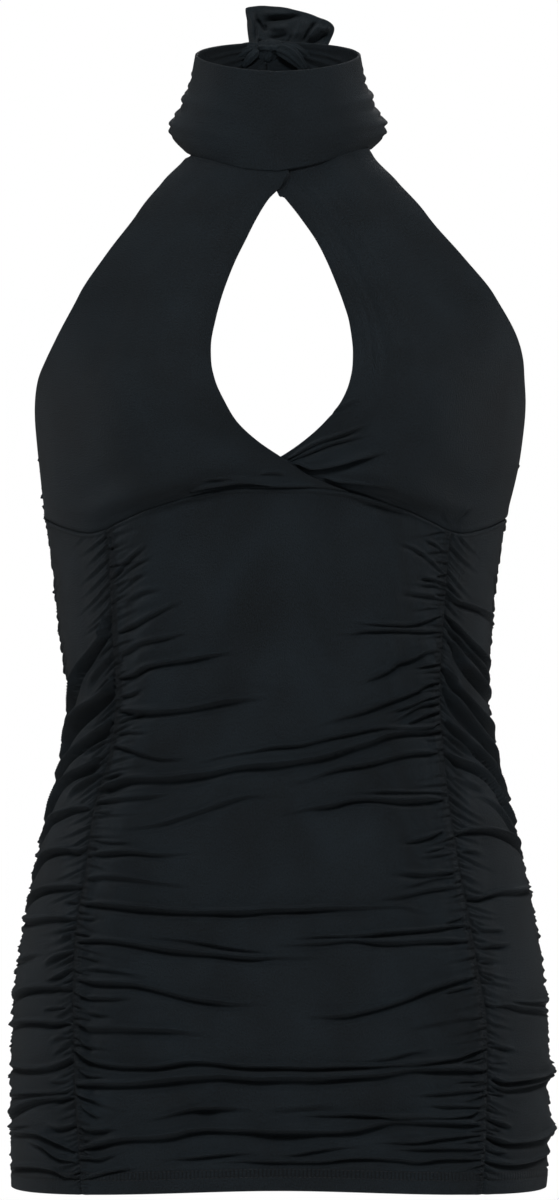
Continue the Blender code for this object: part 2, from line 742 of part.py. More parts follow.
def band_point(turn, level):
    levels = column(BAND_SECTIONS, BAND_SECTION_COLUMNS, "level")
    half_width, front, back = (
        smooth(levels, column(BAND_SECTIONS, BAND_SECTION_COLUMNS, name), level)
        for name in BAND_SECTION_COLUMNS[1:]
    )
    radius = superellipse(turn, half_width, front, back, NECK_ROUNDNESS)
    for crease in named_rows(BAND_CREASES, BAND_CREASE_COLUMNS):
        beside = (level - crease["level"]) / BAND_CREASE_SPREAD
        along = (turn - crease["deepest_turn"]) / crease["half_length"]
        radius = radius - crease["depth"] * np.exp(-(beside**2) - along**2)
    drawn = ramp(*BAND_GATHER_TURNS, np.abs(turn))
    radius = radius + BAND_GATHER_DEPTH * drawn * np.sin(2 * np.pi * BAND_GATHER_WAVES * level)
    low = band_edge("bottom", turn)
    high = band_edge("top", turn)
    height = low + (high - low) * level
    x = radius * np.sin(np.radians(turn)) + BAND_LEAN
    return np.stack([x, -radius * np.cos(np.radians(turn)), height], axis=-1)


def make_neck_band(holder):
    columns, rows = BAND_GRID
    share, level = np.meshgrid(np.linspace(0, 1, columns), np.linspace(0, 1, rows))
    closing = BAND_CLOSING_TURN * ramp(*BAND_CLOSING_LEVELS, level)
    turn = stretch(BAND_START_TURN - closing, BAND_END_TURN + closing, share)
    outer = band_point(turn, level)
    outward = np.stack(
        [np.sin(np.radians(turn)), -np.cos(np.radians(turn)), np.zeros_like(turn)], axis=-1
    )
    make_cloth("collar_band", outer, outer - BAND_WALL * outward, "band", holder)


def make_knot(holder):
    """A rounded lump with upright ridges where the band is wound over itself."""
    columns, rows = KNOT_GRID
    around, up = np.meshgrid(
        np.linspace(0, 2 * np.pi, columns, endpoint=False),
        np.linspace(-np.pi / 2, np.pi / 2, rows + 2)[1:-1],
    )
    swell = 1 - KNOT_RIDGE_DEPTH / KNOT_HALF[0] * (0.5 + 0.5 * np.cos(2 * KNOT_RIDGES * around))
    width = np.cos(up) * swell
    shape = np.stack([width * np.cos(around), width * np.sin(around), np.sin(up)], axis=-1)
    points = (shape * KNOT_HALF + KNOT_CENTRE).reshape(-1, 3)
    poles = np.array([KNOT_CENTRE, KNOT_CENTRE]) + [[0, 0, -KNOT_HALF[2]], [0, 0, KNOT_HALF[2]]]
    bottom_pole = rows * columns
    top_pole = bottom_pole + 1
    rings = np.arange(rows * columns).reshape(rows, columns)
    rings = np.concatenate([rings, rings[:, :1]], axis=1).tolist()
    faces = []
    for low, high in zip(rings[:-1], rings[1:]):
        faces += zip(low[:-1], low[1:], high[1:], high[:-1])
    for a, b in zip(rings[0][:-1], rings[0][1:]):
        faces.append((bottom_pole, b, a))
    for a, b in zip(rings[-1][:-1], rings[-1][1:]):
        faces.append((top_pole, a, b))
    make_object("tie_knot", np.concatenate([points, poles]), faces, "band", holder)


def make_standing_tie(holder):
    columns, rows = FAN_GRID
    angles = column(FAN_OUTLINE, FAN_COLUMNS, "angle")
    sweep = np.linspace(angles[-1], angles[0], columns)
    angle, share = np.meshgrid(sweep, np.linspace(0, 1, rows))
    reach = smooth(angles, column(FAN_OUTLINE, FAN_COLUMNS, "reach"), angle)
    radius = FAN_ROOT + (reach - FAN_ROOT) * share
    push = sum(
        pleat["push"] * np.exp(-(((angle - pleat["angle"]) / pleat["spread"]) ** 2))
        for pleat in named_rows(FAN_PLEATS, FAN_PLEAT_COLUMNS)
    )
    x = KNOT_CENTRE[0] + radius * np.cos(np.radians(angle))
    z = KNOT_CENTRE[2] + radius * np.sin(np.radians(angle))
    y = FAN_PLANE + FAN_LEAN_BACK * share + push * share
    front = np.stack([x, y, z], axis=-1)
    toward_back = np.array([0.0, -1.0, 0.0])
    make_cloth("tie_end_upper", front, front - BAND_WALL * toward_back, "band", holder)


def make_hanging_tie(holder):
    columns, rows = HANGING_TIE_GRID
    across, down = np.meshgrid(np.linspace(1, -1, columns), np.linspace(1, 0, rows))
    widening = ramp(0, HANGING_TIE_WIDENS_BY, down)
    width = stretch(HANGING_TIE_TOP_WIDTH, HANGING_TIE_WIDTH, widening)
    x = KNOT_CENTRE[0] + across * width / 2
    top = KNOT_CENTRE[2] - KNOT_HALF[2] - SEAM_GAP
    z = top - down * (HANGING_TIE_LENGTH + HANGING_TIE_SLANT * across)
    wave = np.cos(np.pi * HANGING_TIE_FOLDS * across) * ramp(0, HANGING_TIE_FOLDS_BY, down)
    bow = HANGING_TIE_BOW * np.sin(np.radians(HANGING_TIE_BOW_TURN) * down)
    y = KNOT_CENTRE[1] + HANGING_TIE_BEHIND + bow + HANGING_TIE_FOLD * wave
    back = np.stack([x, y, z], axis=-1)
    outward = np.array([0.0, 1.0, 0.0])
    make_cloth("tie_end_lower", back, back - BAND_WALL * outward, "band", holder)


def main():
    for obj in list(bpy.data.objects):
        bpy.data.objects.remove(obj, do_unlink=True)
    holder = bpy.data.objects.new("halter_neck_top", None)
    holder.location = (0.0, 0.0, -NECK_HOLD_HEIGHT * MM)
    bpy.context.scene.collection.objects.link(holder)
    for name in PANELS:
        make_panel(name, holder)
    make_cup("cup_right", holder, RIGHT_CUP_OUTER, RIGHT_CUP_INNER, is_under=True)
    make_cup("cup_left", holder, LEFT_CUP_OUTER, LEFT_CUP_INNER, is_under=False)
    make_neck_band(holder)
    make_knot(holder)
    make_standing_tie(holder)
    make_hanging_tie(holder)


main()
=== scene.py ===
"""The looks of a black jersey halter neck top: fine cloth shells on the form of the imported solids.

Lengths are millimetres until to_metres. Heights are measured up from the front hem, and the
frame's origin, in the ring of the neck band, is at NECK_HOLD_HEIGHT. A turn is the angle about
the upright axis in degrees: 0 at the centre front (-Y), +90 on the +X side, 180 at the centre
back. Left and right are as seen from the front, so left is -X.
"""

from types import SimpleNamespace

import bpy
import numpy as np
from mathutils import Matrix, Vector


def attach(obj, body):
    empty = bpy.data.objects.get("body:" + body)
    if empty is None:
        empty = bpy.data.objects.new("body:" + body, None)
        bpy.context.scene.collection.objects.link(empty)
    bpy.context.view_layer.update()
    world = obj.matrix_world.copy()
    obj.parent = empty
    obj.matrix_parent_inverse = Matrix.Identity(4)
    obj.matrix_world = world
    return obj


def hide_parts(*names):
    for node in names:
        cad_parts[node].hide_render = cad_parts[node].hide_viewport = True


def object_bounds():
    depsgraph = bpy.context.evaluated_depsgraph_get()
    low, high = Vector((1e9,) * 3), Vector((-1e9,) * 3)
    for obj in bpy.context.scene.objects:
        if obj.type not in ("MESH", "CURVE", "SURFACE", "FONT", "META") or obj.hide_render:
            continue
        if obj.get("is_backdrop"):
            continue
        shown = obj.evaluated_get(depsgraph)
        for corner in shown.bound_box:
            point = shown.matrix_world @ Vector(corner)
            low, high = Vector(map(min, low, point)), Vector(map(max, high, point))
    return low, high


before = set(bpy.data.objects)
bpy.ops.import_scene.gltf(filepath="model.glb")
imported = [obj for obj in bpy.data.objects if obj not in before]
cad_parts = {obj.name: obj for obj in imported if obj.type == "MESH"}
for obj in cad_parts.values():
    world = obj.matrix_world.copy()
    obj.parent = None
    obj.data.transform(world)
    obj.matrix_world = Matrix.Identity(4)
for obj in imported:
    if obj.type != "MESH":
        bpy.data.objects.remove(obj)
cad_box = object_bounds()


# ---------------------------------------------------------------- tools


class Table:
    """Rows under named columns."""

    def __init__(self, names, *rows):
        self.names = names.split()
        self.rows = [SimpleNamespace(**dict(zip(self.names, row))) for row in rows]

    def __iter__(self):
        return iter(self.rows)

    def column(self, name):
        return np.array([getattr(row, name) for row in self.rows], float)

    def curve(self, name, at):
        """The smooth curve of a column over the first one."""
        return smooth(self.column(self.names[0]), self.column(name), at)

    def curves(self, at):
        return [self.curve(name, at) for name in self.names[1:]]


def smooth(xs, ys, x):
    """A curve through the points (xs, ys) that doesn't overshoot them."""
    steps = np.diff(xs)
    slopes = np.diff(ys) / steps
    inner = slopes[1:] * slopes[:-1]
    sums = np.where(inner > 0, slopes[1:] + slopes[:-1], 1.0)
    tangents = np.concatenate([slopes[:1], np.where(inner > 0, 2 * inner / sums, 0.0), slopes[-1:]])
    x = np.clip(x, xs[0], xs[-1])
    i = np.clip(np.searchsorted(xs, x, side="right") - 1, 0, len(xs) - 2)
    t = (x - xs[i]) / steps[i]
    return (
        (1 + 2 * t) * (1 - t) ** 2 * ys[i]
        + t * (1 - t) ** 2 * steps[i] * tangents[i]
        + t * t * (3 - 2 * t) * ys[i + 1]
        + t * t * (t - 1) * steps[i] * tangents[i + 1]
    )


def ramp(low, high, x):
    """0 at low, 1 at high, with soft ends; low may be the larger one."""
    t = np.clip((x - low) / (high - low), 0.0, 1.0)
    return t * t * (3 - 2 * t)


def stretch(start, end, shares):
    return start + (end - start) * shares


def rise_from(share, low, high, x):
    """A share at low and 1 at high."""
    return stretch(share, 1, ramp(low, high, x))


def bump(x):
    return np.exp(-(x**2))


def pleat(beside, share, place, width):
    """A trough with a ridge at one side, which has a share of its depth."""
    return share * bump((beside - place) / width) - bump(beside)


def unit(vectors):
    return vectors / np.linalg.norm(vectors, axis=-1, keepdims=True)


def sine(turn):
    return np.sin(np.radians(turn))


def cosine(turn):
    return np.cos(np.radians(turn))


def turn_between(start, end):
    return (end - start + 180) % 360 - 180


def run_of(points):
    """The lengths along a row of points from its start."""
    return np.concatenate([[0], np.cumsum(np.linalg.norm(np.diff(points, axis=0), axis=1))])


def evenly(points, run, count):
    """Places evenly spaced by run along the smooth curve through points."""
    at = np.linspace(0, run[-1], count)
    return np.stack([smooth(run, column, at) for column in points.T], axis=1)


def swells(x, y, seed):
    """Soft random relief from -1 to 1, with one swell for each unit of x and of y."""
    lattice = np.random.default_rng(seed).uniform(-1, 1, (97, 89))
    ix, iy = np.floor(x).astype(int), np.floor(y).astype(int)
    tx, ty = ramp(0, 1, x - ix), ramp(0, 1, y - iy)
    low, high = (
        stretch(lattice[ix % 97, row % 89], lattice[(ix + 1) % 97, row % 89], tx)
        for row in (iy, iy + 1)
    )
    return stretch(low, high, ty)


# ---------------------------------------------------------------- the worn body

MM = 0.001
NECK_HOLD_HEIGHT = 650.0
SHELL = 1.1  # one layer of gathered jersey with its small puckers
BAND_SHELL = 1.9  # the band and the ties are doubled
RIM_ROUNDNESS = 0.3
SEAM_GAP = 0.3
BODY_ROUNDNESS = 2.3
NECK_ROUNDNESS = 2.1

SECTIONS = Table(
    "height half_width front back lean",
    (-12, 162.5, 107, 116, -1), (0, 163.5, 108, 118, -0.5), (40, 164.5, 109, 123, 0),
    (75, 164, 108, 125, 0), (110, 162.5, 106, 122, 0), (150, 157, 102, 113, 0),
    (190, 149, 97, 103, 0), (230, 139, 93, 94, 0), (260, 131, 90.5, 88, 0),
    (291, 128, 89, 85, -0.5), (327, 131.5, 91, 87, -2.5), (364, 135, 94.5, 92, -3),
    (400, 140.5, 98, 96, -2.5), (437, 147, 101, 99, -0.5), (474, 151, 99, 100, 0),
    (511, 155, 92, 98, 0), (535, 154, 85, 92, 0), (560, 140, 76, 84, 0), (584, 115, 66, 70, 0),
    (604, 84, 57, 58, 0), (624, 60, 51, 52, 0), (650, 57, 50, 52, 0),
)
BUST_RISE = 23.0
BUST_APEX_ACROSS = 78.0
BUST_APEX_HEIGHT = 458.0
BUST_SPREAD_ACROSS = 46.0
BUST_SPREAD_UP = 52.0
BUST_SPREAD_DOWN = 40.0
BUST_FALL = 4.0  # how suddenly it falls below: 2 is a soft hill
BUST_BRIDGE = 0.45
BUST_WRAP = 3.0

HEM_FRONT_HEIGHT = 1.3
HEM_SIDE_DROP = 7.3
SIDE_SEAM_TURN = 91.0
UNDERARM_HEIGHT = 440.0
BACK_TOP_DIP = 11.0

PRINCESS_SEAMS = Table(
    "height left right",
    (-12, -55, 56.6), (0, -55.4, 57), (45, -56.7, 57.4), (99, -58.3, 58.2), (127, -59.3, 57.2),
    (163, -60.3, 56.4), (186, -60.1, 55.9), (219, -60.8, 55.6), (260, -58.6, 56.2),
    (300, -56.8, 56.6), (341, -55.4, 57), (390, -54.2, 56.4), (410, -54, 56.2),
)
UNDER_BUST_SEAM = Table(
    "turn_out height",
    (0, 417), (10, 417), (21, 415), (39, 406), (50, 397), (55, 392.5), (60, 390.5), (69, 393.5),
    (80, 398.5), (100, 402),
)
# The cups' free edges, as points (turn, height) from the seam under the bust up.
LEFT_CUP_INNER = (
    (23.5, 414.8), (10, 425), (0.7, 435.5), (-8, 446), (-14.7, 457.4), (-18.7, 469.3),
    (-21.8, 481.2), (-23.6, 493.3), (-24.2, 505.4), (-23.6, 517.5), (-22.7, 529.7),
    (-21.2, 541.9), (-19.1, 554.1), (-16, 566.4), (-12.4, 578.7), (-6.7, 591.5), (0.5, 600),
    (5, 608.8),
)
RIGHT_CUP_INNER = (
    (-23, 414.8), (-10, 425), (0.7, 435.7), (8.4, 445.7), (15.3, 457.4), (20.3, 469.3),
    (23.2, 481.2), (24.8, 493.3), (25.4, 505.4), (25.2, 517.5), (24.1, 529.7), (22.4, 541.9),
    (20.3, 554.1), (17.2, 566.4), (11.6, 579.5), (3, 593.5), (-4, 601), (-9, 608.8),
)
LEFT_CUP_OUTER = (
    (-91, 401), (-91, 420), (-91, 440), (-88, 452), (-82.5, 469), (-77, 484), (-72.2, 495.7),
    (-68.8, 507.4), (-64.4, 531), (-62, 555), (-60.6, 580), (-63.4, 600), (-65.6, 611),
    (-67, 622.3),
)
RIGHT_CUP_OUTER = (
    (91, 401), (91, 420), (91, 440), (88.6, 452), (84, 469), (79.2, 484), (76.8, 496),
    (74, 507.9), (68.4, 531), (64.4, 555), (61.8, 580), (63.6, 600), (65.2, 611), (67, 622.3),
)

# ---------------------------------------------------------------- creases

# A fold's line has points (turn, height). Over it the cloth stands out in a soft ridge, and
# under it lies a trough.
FOLD_COLUMNS = "depth spread line"
FRONT_FOLDS = Table(
    FOLD_COLUMNS,
    (1.2, 1.3, ((-53.5, 391.5), (-53.5, 384), (-54.5, 375))),
    (1.3, 2.6, ((25, 411), (32.5, 408), (47.5, 399.5))),
    (1, 1.2, ((55, 391), (56.5, 381))),
    (1, 1.6, ((-53.5, 364), (-49.5, 372), (-41, 386))),
    (0.7, 1.5, ((-52, 363), (-47, 370.5), (-39, 379))),
    (0.7, 1.5, ((-51.5, 356), (-45.5, 364.5), (-41.5, 369))),
    (1.1, 2.2, ((-51.5, 347), (-47.5, 352), (-43, 356), (-37, 357.5))),
    (1.6, 2.2, ((-52.5, 332), (-48.5, 335), (-43, 341), (-38, 345.5), (-31, 350.5))),
    (1.5, 2.1, ((-53.5, 317), (-50.5, 320), (-47.5, 324), (-30, 331.5))),
    (2.2, 2.2, ((-55, 304), (-50.5, 306), (-45.5, 310.5), (-26, 317), (-12.5, 320.5))),
    (1.2, 1.7, ((-56, 293), (-51.5, 294.5), (-47.5, 299))),
    (2.5, 2.7, ((-55.5, 284.5), (-45.5, 283.5), (-15, 291), (-1, 293))),
    (1.3, 1.6, ((-55.5, 277.5), (-51, 281.5), (-47, 283.5))),
    (1, 1.5, ((-57, 270), (-52, 271.5), (-45, 271.5))),
    (1.7, 2, ((-56.5, 263), (-51.5, 261), (-46.5, 258), (-39, 255.5), (-32, 255.5))),
    (1.2, 1.4, ((-60, 243), (-52, 247.5))),
    (2.9, 2.9, ((-60, 236.5), (-49, 243), (-38, 244), (-28.5, 246), (-16.5, 250.5), (6, 254),
        (30.5, 264.5), (40, 270.5), (56.5, 272.5))),
    (1.7, 1.4, ((-34.5, 252), (-4, 262.5), (7.5, 264.5), (37.5, 274), (52, 274.5), (56, 277))),
    (1.6, 2, ((-59, 229.5), (-36, 235.5))),
    (1, 1.4, ((-59.5, 223.5), (-54, 223.5))),
    (1.7, 2.3, ((-56.5, 214), (-49.5, 214), (-42.5, 216), (-8.5, 234), (3, 234.5))),
    (0.9, 1.8, ((-59, 207), (-53.5, 205.5), (-46.5, 206))),
    (1.9, 2, ((-60, 198), (-48.5, 200), (-39, 199), (-28.5, 200))),
    (1.2, 2.2, ((-60, 183), (-54, 185), (-47, 184), (-26.5, 179))),
    (2.8, 2.2, ((-58, 169), (-51.5, 168.5), (-42, 166.5), (-22.5, 165), (7, 167), (37.5, 168),
        (45.5, 164.5), (52, 166.5))),
    (1.1, 1.5, ((-60.5, 160.5), (-54, 160))),
    (2.7, 2.1, ((-58.5, 146.5), (-52, 147.5), (-34, 142.5), (-5, 138.5), (6.5, 138.5),
        (17.5, 140))),
    (1.6, 1.5, ((-44.5, 150.5), (-26, 147.5), (-16.5, 144), (-6, 142), (9, 141))),
    (1.1, 1.4, ((-58, 138), (-54, 136), (-51, 133))),
    (0.8, 2, ((-56.5, 130), (-49.5, 129.5), (-39, 126))),
    (2.5, 2.1, ((-57.5, 124), (-53, 122.5), (-44, 122), (-38.5, 120), (-24, 113), (-11, 111),
        (-2.5, 111))),
    (1.6, 2, ((-56.5, 114.5), (-54, 113), (-42.5, 114))),
    (0.9, 1.6, ((-57, 106), (-53.5, 103.5), (-48, 102.5))),
    (1.9, 3, ((-56.5, 98), (-53.5, 94), (-39.5, 95.5), (-32, 94.5), (-18.5, 91))),
    (1.2, 1.5, ((-58, 90.5), (-51.5, 81))),
    (2.5, 1.9, ((-58, 83), (-52, 75), (-43, 73), (-38, 73), (-26.5, 77), (-12.5, 74.5),
        (6.5, 73.5), (27, 74), (49.5, 77.5), (56.5, 82.5))),
    (1.1, 1.4, ((-56.5, 70.5), (-53, 67), (-48, 66))),
    (3.1, 2.9, ((-56, 61.5), (-40, 63.5), (-26, 67.5), (-18.5, 68), (-7, 67), (9, 67),
        (28.5, 69), (40, 71.5), (48, 71.5), (56, 70))),
    (1.3, 2.4, ((19, 74.5), (32, 78.5), (38, 81.5), (45.5, 83))),
    (1.2, 1.4, ((-56, 55), (-52.5, 53), (-49, 48.5))),
    (1.1, 1.4, ((-55.5, 49), (-53, 45), (-49.5, 41))),
    (2.2, 2.2, ((-40.5, 41), (-34.5, 43.5), (-30, 47), (-25.5, 49), (-18.5, 49.5), (-7, 48.5))),
    (1.3, 4, ((-7, 48.5), (6, 49), (21, 51.5))),
    (2, 2, ((-55.5, 36.5), (-53, 34.5), (-49.5, 35), (-46, 36.5))),
    (0.9, 1.3, ((-56, 30.5), (-53.5, 28.5), (-51.5, 28.5))),
    (2.7, 2.7, ((-55, 23.5), (-44, 30), (-33, 32.5), (-27, 35.5), (-21, 37), (6, 35),
        (15.5, 35.5), (22.5, 36.5), (34, 41), (55, 38))),
    (1.8, 5.5, ((-12.5, 36.5), (-3, 36), (17, 37.5))),
    (1.4, 4.5, ((-27, 50.5), (-22.5, 49), (-17.5, 49.5))),
    (1.4, 1.6, ((-55.5, 18), (-51.5, 17.5), (-48, 19.5), (-45, 23.5))),
    (1.8, 2, ((-37.5, 17.5), (-15.5, 22.5), (-4.5, 23))),
    (1.5, 1.8, ((-4.5, 21), (3, 22), (16.5, 26), (25, 27))),
    (1.6, 1.6, ((-55, 5), (-46, 11.5), (-39.5, 13.5))),
    (1.8, 1.8, ((-33, 17), (-4.5, 18.5), (11, 18), (21.5, 20), (33.5, 19), (40.5, 17),
        (46.5, 18), (55.5, 17.5))),
    (2, 1.5, ((-1.5, 44.5), (18.5, 45.5), (48.5, 43), (52.5, 43.5), (55, 45.5))),
    (1.7, 1.6, ((26.5, 29), (39, 28.5), (45.5, 30.5), (55.5, 31.5))),
    (1.6, 1.8, ((32, 25), (56, 23.5))),
    (0.9, 1.2, ((56, 28), (51.5, 28))),
    (1.5, 1.6, ((55.5, 48.5), (41, 50.5))),
    (1.5, 1.7, ((56, 58), (43, 57), (37.5, 55.5))),
    (1, 1.3, ((56, 63.5), (52, 64), (48.5, 63))),
    (1.1, 1.3, ((56.5, 77.5), (48.5, 73.5))),
    (0.9, 2.6, ((56.5, 101.5), (50, 100), (37, 95.5))),
    (2.5, 2, ((56, 126), (52.5, 124.5), (43.5, 118.5), (38.5, 114), (25, 106), (20, 104),
        (3.5, 103.5))),
    (1.3, 1.5, ((54.5, 120), (46, 116))),
    (2.3, 2, ((54.5, 147.5), (33.5, 147), (22.5, 148.5), (4.5, 146), (-5, 146))),
    (2.3, 1.7, ((54.5, 156.5), (45.5, 154.5), (24, 151.5), (0.5, 150))),
    (1.3, 1.5, ((54, 161), (47.5, 156))),
    (1.8, 1.9, ((61, 182), (55, 179.5), (46.5, 177.5), (35, 173), (28.5, 171.5))),
    (1.4, 1.6, ((53.5, 185.5), (49, 184), (37.5, 178.5))),
    (1.6, 2.2, ((53.5, 188), (46.5, 186.5), (38.5, 188), (34, 186))),
    (0.9, 1.5, ((54, 199.5), (43.5, 196))),
    (0.9, 1.4, ((52.5, 203), (45, 199.5))),
    (1.9, 1.6, ((52, 212.5), (48, 209), (39, 205.5))),
    (2.4, 2.1, ((53.5, 231.5), (44, 230.5), (30.5, 232), (25, 231.5), (18.5, 228.5),
        (-3.5, 222.5))),
    (0.9, 1.3, ((54, 235.5), (41.5, 236), (22, 235.5))),
    (2.3, 2, ((54, 259.5), (48, 259), (42, 257.5), (28.5, 252), (21.5, 250), (14.5, 246.5),
        (9, 242.5), (0.5, 241))),
    (1, 1.4, ((55.5, 267), (50, 267))),
    (1.9, 1.5, ((57, 285.5), (42, 274.5))),
    (2.1, 1.9, ((57, 289), (51.5, 288), (46.5, 284.5), (38.5, 274.5))),
    (1.7, 1.6, ((56.5, 294), (50.5, 291), (45.5, 287), (37, 282))),
    (2, 1.9, ((57, 302), (52, 300), (48, 296), (40.5, 290.5), (10.5, 273))),
    (0.9, 1.5, ((56.5, 312.5), (52, 311.5), (48, 309.5))),
    (1.9, 2.1, ((57, 320.5), (52, 319.5), (47, 315.5), (42.5, 313), (39.5, 308.5), (25.5, 297.5))),
    (2, 1.7, ((56.5, 332), (32.5, 332.5), (26.5, 330.5), (20, 329.5))),
    (1.5, 1.7, ((56, 341.5), (51.5, 338.5), (44, 335.5), (25.5, 337.5))),
    (0.7, 1.6, ((55.5, 346), (50.5, 345.5), (45.5, 344))),
    (1.1, 2, ((56, 351), (51, 353), (41.5, 355))),
    (0.9, 1.5, ((56.5, 357.5), (51.5, 359), (47.5, 359))),
    (1.4, 1.6, ((56.5, 361), (47, 364.5))),
    (1, 1.3, ((55, 367), (48, 378.5), (44.5, 382))),
    (1.1, 1.4, ((54, 380.5), (51.5, 384), (48, 387))),
    (0.8, 1.5, ((49.5, 375.5), (45, 381.5), (40, 384))),
)
LEFT_FOLDS = Table(
    FOLD_COLUMNS,
    (4, 2.3, ((-55, 344.5), (-57, 338), (-59, 328), (-72, 306.5), (-79, 289), (-91, 270))),
    (1.3, 2.3, ((-56.5, 318), (-69, 296.5))),
    (5.4, 3.3, ((-58, 303), (-60, 295.5), (-63, 291), (-71.5, 281), (-76, 274), (-80.5, 265.5),
        (-82.5, 257.5), (-91, 244))),
    (3.8, 2.3, ((-59, 278.5), (-60.5, 273), (-63.5, 269), (-72.5, 260), (-77.5, 253), (-91, 231))),
    (1.5, 1.5, ((-59.5, 266), (-63, 264), (-69.5, 256.5))),
    (3.8, 2.2, ((-61.5, 255.5), (-63.5, 251), (-71, 245.5), (-75, 241), (-78.5, 234.5),
        (-81.5, 227), (-84, 218.5), (-91, 207.5))),
    (1.9, 1.9, ((-60.5, 246.5), (-69, 235.5), (-72.5, 229.5))),
    (2.4, 1.9, ((-62, 226), (-67.5, 225), (-73.5, 221.5), (-78.5, 217.5), (-81, 211.5),
        (-91, 195.5))),
    (2.4, 1.9, ((-61, 201.5), (-63, 199.5), (-67, 200.5), (-72, 199), (-77, 195), (-81.5, 187),
        (-91, 172))),
    (2.5, 1.9, ((-60.5, 179), (-71, 177), (-76.5, 174), (-91, 157))),
    (0.9, 1.4, ((-59, 172), (-62.5, 169.5), (-65.5, 169.5))),
    (2.2, 1.9, ((-60.5, 160), (-65.5, 159.5), (-91, 153))),
    (1.5, 1.5, ((-60, 153), (-62, 150.5), (-64, 146))),
    (2.1, 1.7, ((-60, 140.5), (-63, 138), (-69, 130.5))),
    (1, 1.6, ((-68.5, 138), (-91, 128.5))),
    (1.4, 1.5, ((-60.5, 130), (-63, 125.5), (-66.5, 121.5))),
    (2.5, 1.9, ((-57.5, 119), (-68, 117.5), (-91, 104))),
    (0.9, 1.6, ((-60.5, 107), (-67.5, 104.5))),
    (2.3, 1.9, ((-59, 97.5), (-68, 97), (-91, 90.5))),
    (0.9, 1.6, ((-58.5, 90), (-62, 88), (-65, 84.5))),
    (1.1, 1.6, ((-58, 85.5), (-64, 77.5))),
    (2.2, 1.9, ((-58, 77), (-60.5, 73), (-64, 70), (-69, 68.5), (-91, 67))),
    (1.1, 1.6, ((-57.5, 65), (-61, 62.5), (-64.5, 62))),
    (1.5, 1.7, ((-57.5, 59), (-60, 56), (-71, 53.5), (-91, 47))),
    (2.6, 2.1, ((-57.5, 53.5), (-66.5, 50.5), (-91, 31.5))),
    (1.4, 2.2, ((-57, 37), (-61, 35), (-65.5, 35))),
    (1.2, 1.6, ((-69, 35), (-91, 28))),
    (2, 1.9, ((-57, 22), (-64, 27.5), (-68.5, 29.5), (-91, 27))),
    (1.7, 1.7, ((-57, 15.5), (-60.5, 16), (-67, 23), (-73, 25))),
    (1.9, 1.7, ((-55.5, 5.5), (-59.5, 6), (-64, 9), (-68.5, 9.5), (-91, 2))),
)
RIGHT_FOLDS = Table(
    FOLD_COLUMNS,
    (1.7, 1.7, ((57, 356.5), (60, 351), (64, 348), (91, 338))),
    (2.3, 1.6, ((58.5, 339.5), (66, 327.5), (70, 322.5), (91, 305.5))),
    (1.8, 1.6, ((59.5, 332), (63.5, 325), (74, 311.5), (91, 293.5))),
    (3.1, 2.6, ((60, 325), (63, 317.5), (66.5, 310.5), (77.5, 296.5), (91, 287))),
    (3.2, 2.5, ((58, 309.5), (63.5, 295.5), (67.5, 289), (73.5, 281), (91, 262.5))),
    (3.5, 2.8, ((58, 298), (61, 289.5), (64.5, 282), (74.5, 265.5), (91, 242))),
    (3.1, 2.2, ((58, 278), (65, 265.5), (75.5, 250.5), (78.5, 243.5), (91, 223.5))),
    (1.9, 1.6, ((57.5, 270.5), (61, 265), (70, 254))),
    (2.9, 2, ((57, 258.5), (60.5, 253.5), (65.5, 250.5), (70.5, 245.5), (74.5, 237.5),
        (77.5, 228), (91, 206.5))),
    (0.7, 2.1, ((57.5, 244.5), (70, 234.5))),
    (1.2, 2.2, ((62.5, 234), (68.5, 231), (74.5, 224.5), (79, 214), (91, 195))),
    (2.8, 1.9, ((56, 211), (61, 212.5), (66.5, 212), (73, 209.5), (78, 206), (91, 191))),
    (0.7, 1.9, ((55.5, 200), (59.5, 200), (64, 198))),
    (2.2, 1.6, ((54.5, 173), (58.5, 172), (67.5, 175), (91, 175))),
    (1.3, 1.6, ((57, 157.5), (59, 154), (61.5, 152.5), (67, 152))),
    (1.7, 1.6, ((56.5, 145), (58.5, 143), (68, 144))),
    (0.9, 1.3, ((56, 135), (62, 133.5))),
    (1.4, 1.3, ((57.5, 127.5), (59, 125), (61.5, 122.5))),
    (1.6, 1.6, ((61, 108), (64.5, 107.5), (67.5, 105.5), (91, 99))),
    (1.4, 1.3, ((62.5, 111), (68.5, 109), (91, 104.5))),
    (1.3, 1.3, ((58.5, 84.5), (62.5, 82), (66, 81))),
    (0.9, 1.2, ((58.5, 74.5), (63.5, 73.5))),
    (3, 1.8, ((59.5, 64.5), (62, 62), (76.5, 62), (91, 67.5))),
    (2.2, 1.6, ((59, 60), (62.5, 57.5), (91, 60.5))),
    (1, 1.2, ((58, 56), (63.5, 54))),
    (1.1, 1.1, ((57.5, 50), (60, 46))),
    (1.9, 1.6, ((57.5, 41), (65, 33.5))),
    (1, 1.2, ((57.5, 35.5), (62, 33))),
    (3, 1.9, ((57.5, 30.5), (64, 25), (70, 24.5), (75.5, 25), (91, 30.5))),
    (1, 1.2, ((58, 21.5), (63.5, 19.5))),
    (2.6, 1.7, ((57, 15.5), (66, 12), (91, 18))),
)
LEFT_CUP_FOLDS = Table(
    FOLD_COLUMNS,
    (0.6, 1.8, ((-5.5, 425.6), (-1.5, 426.2), (3.3, 424.4))),
    (0.7, 1.7, ((-23.9, 423.8), (-14.4, 423), (-5.3, 420.9), (2.5, 419.2))),
    (2.8, 2, ((-27.9, 416.3), (-21.7, 418.9), (-14.3, 420), (-5.3, 419.2), (4.3, 418),
        (11.7, 417.1), (17.7, 416.2))),
)
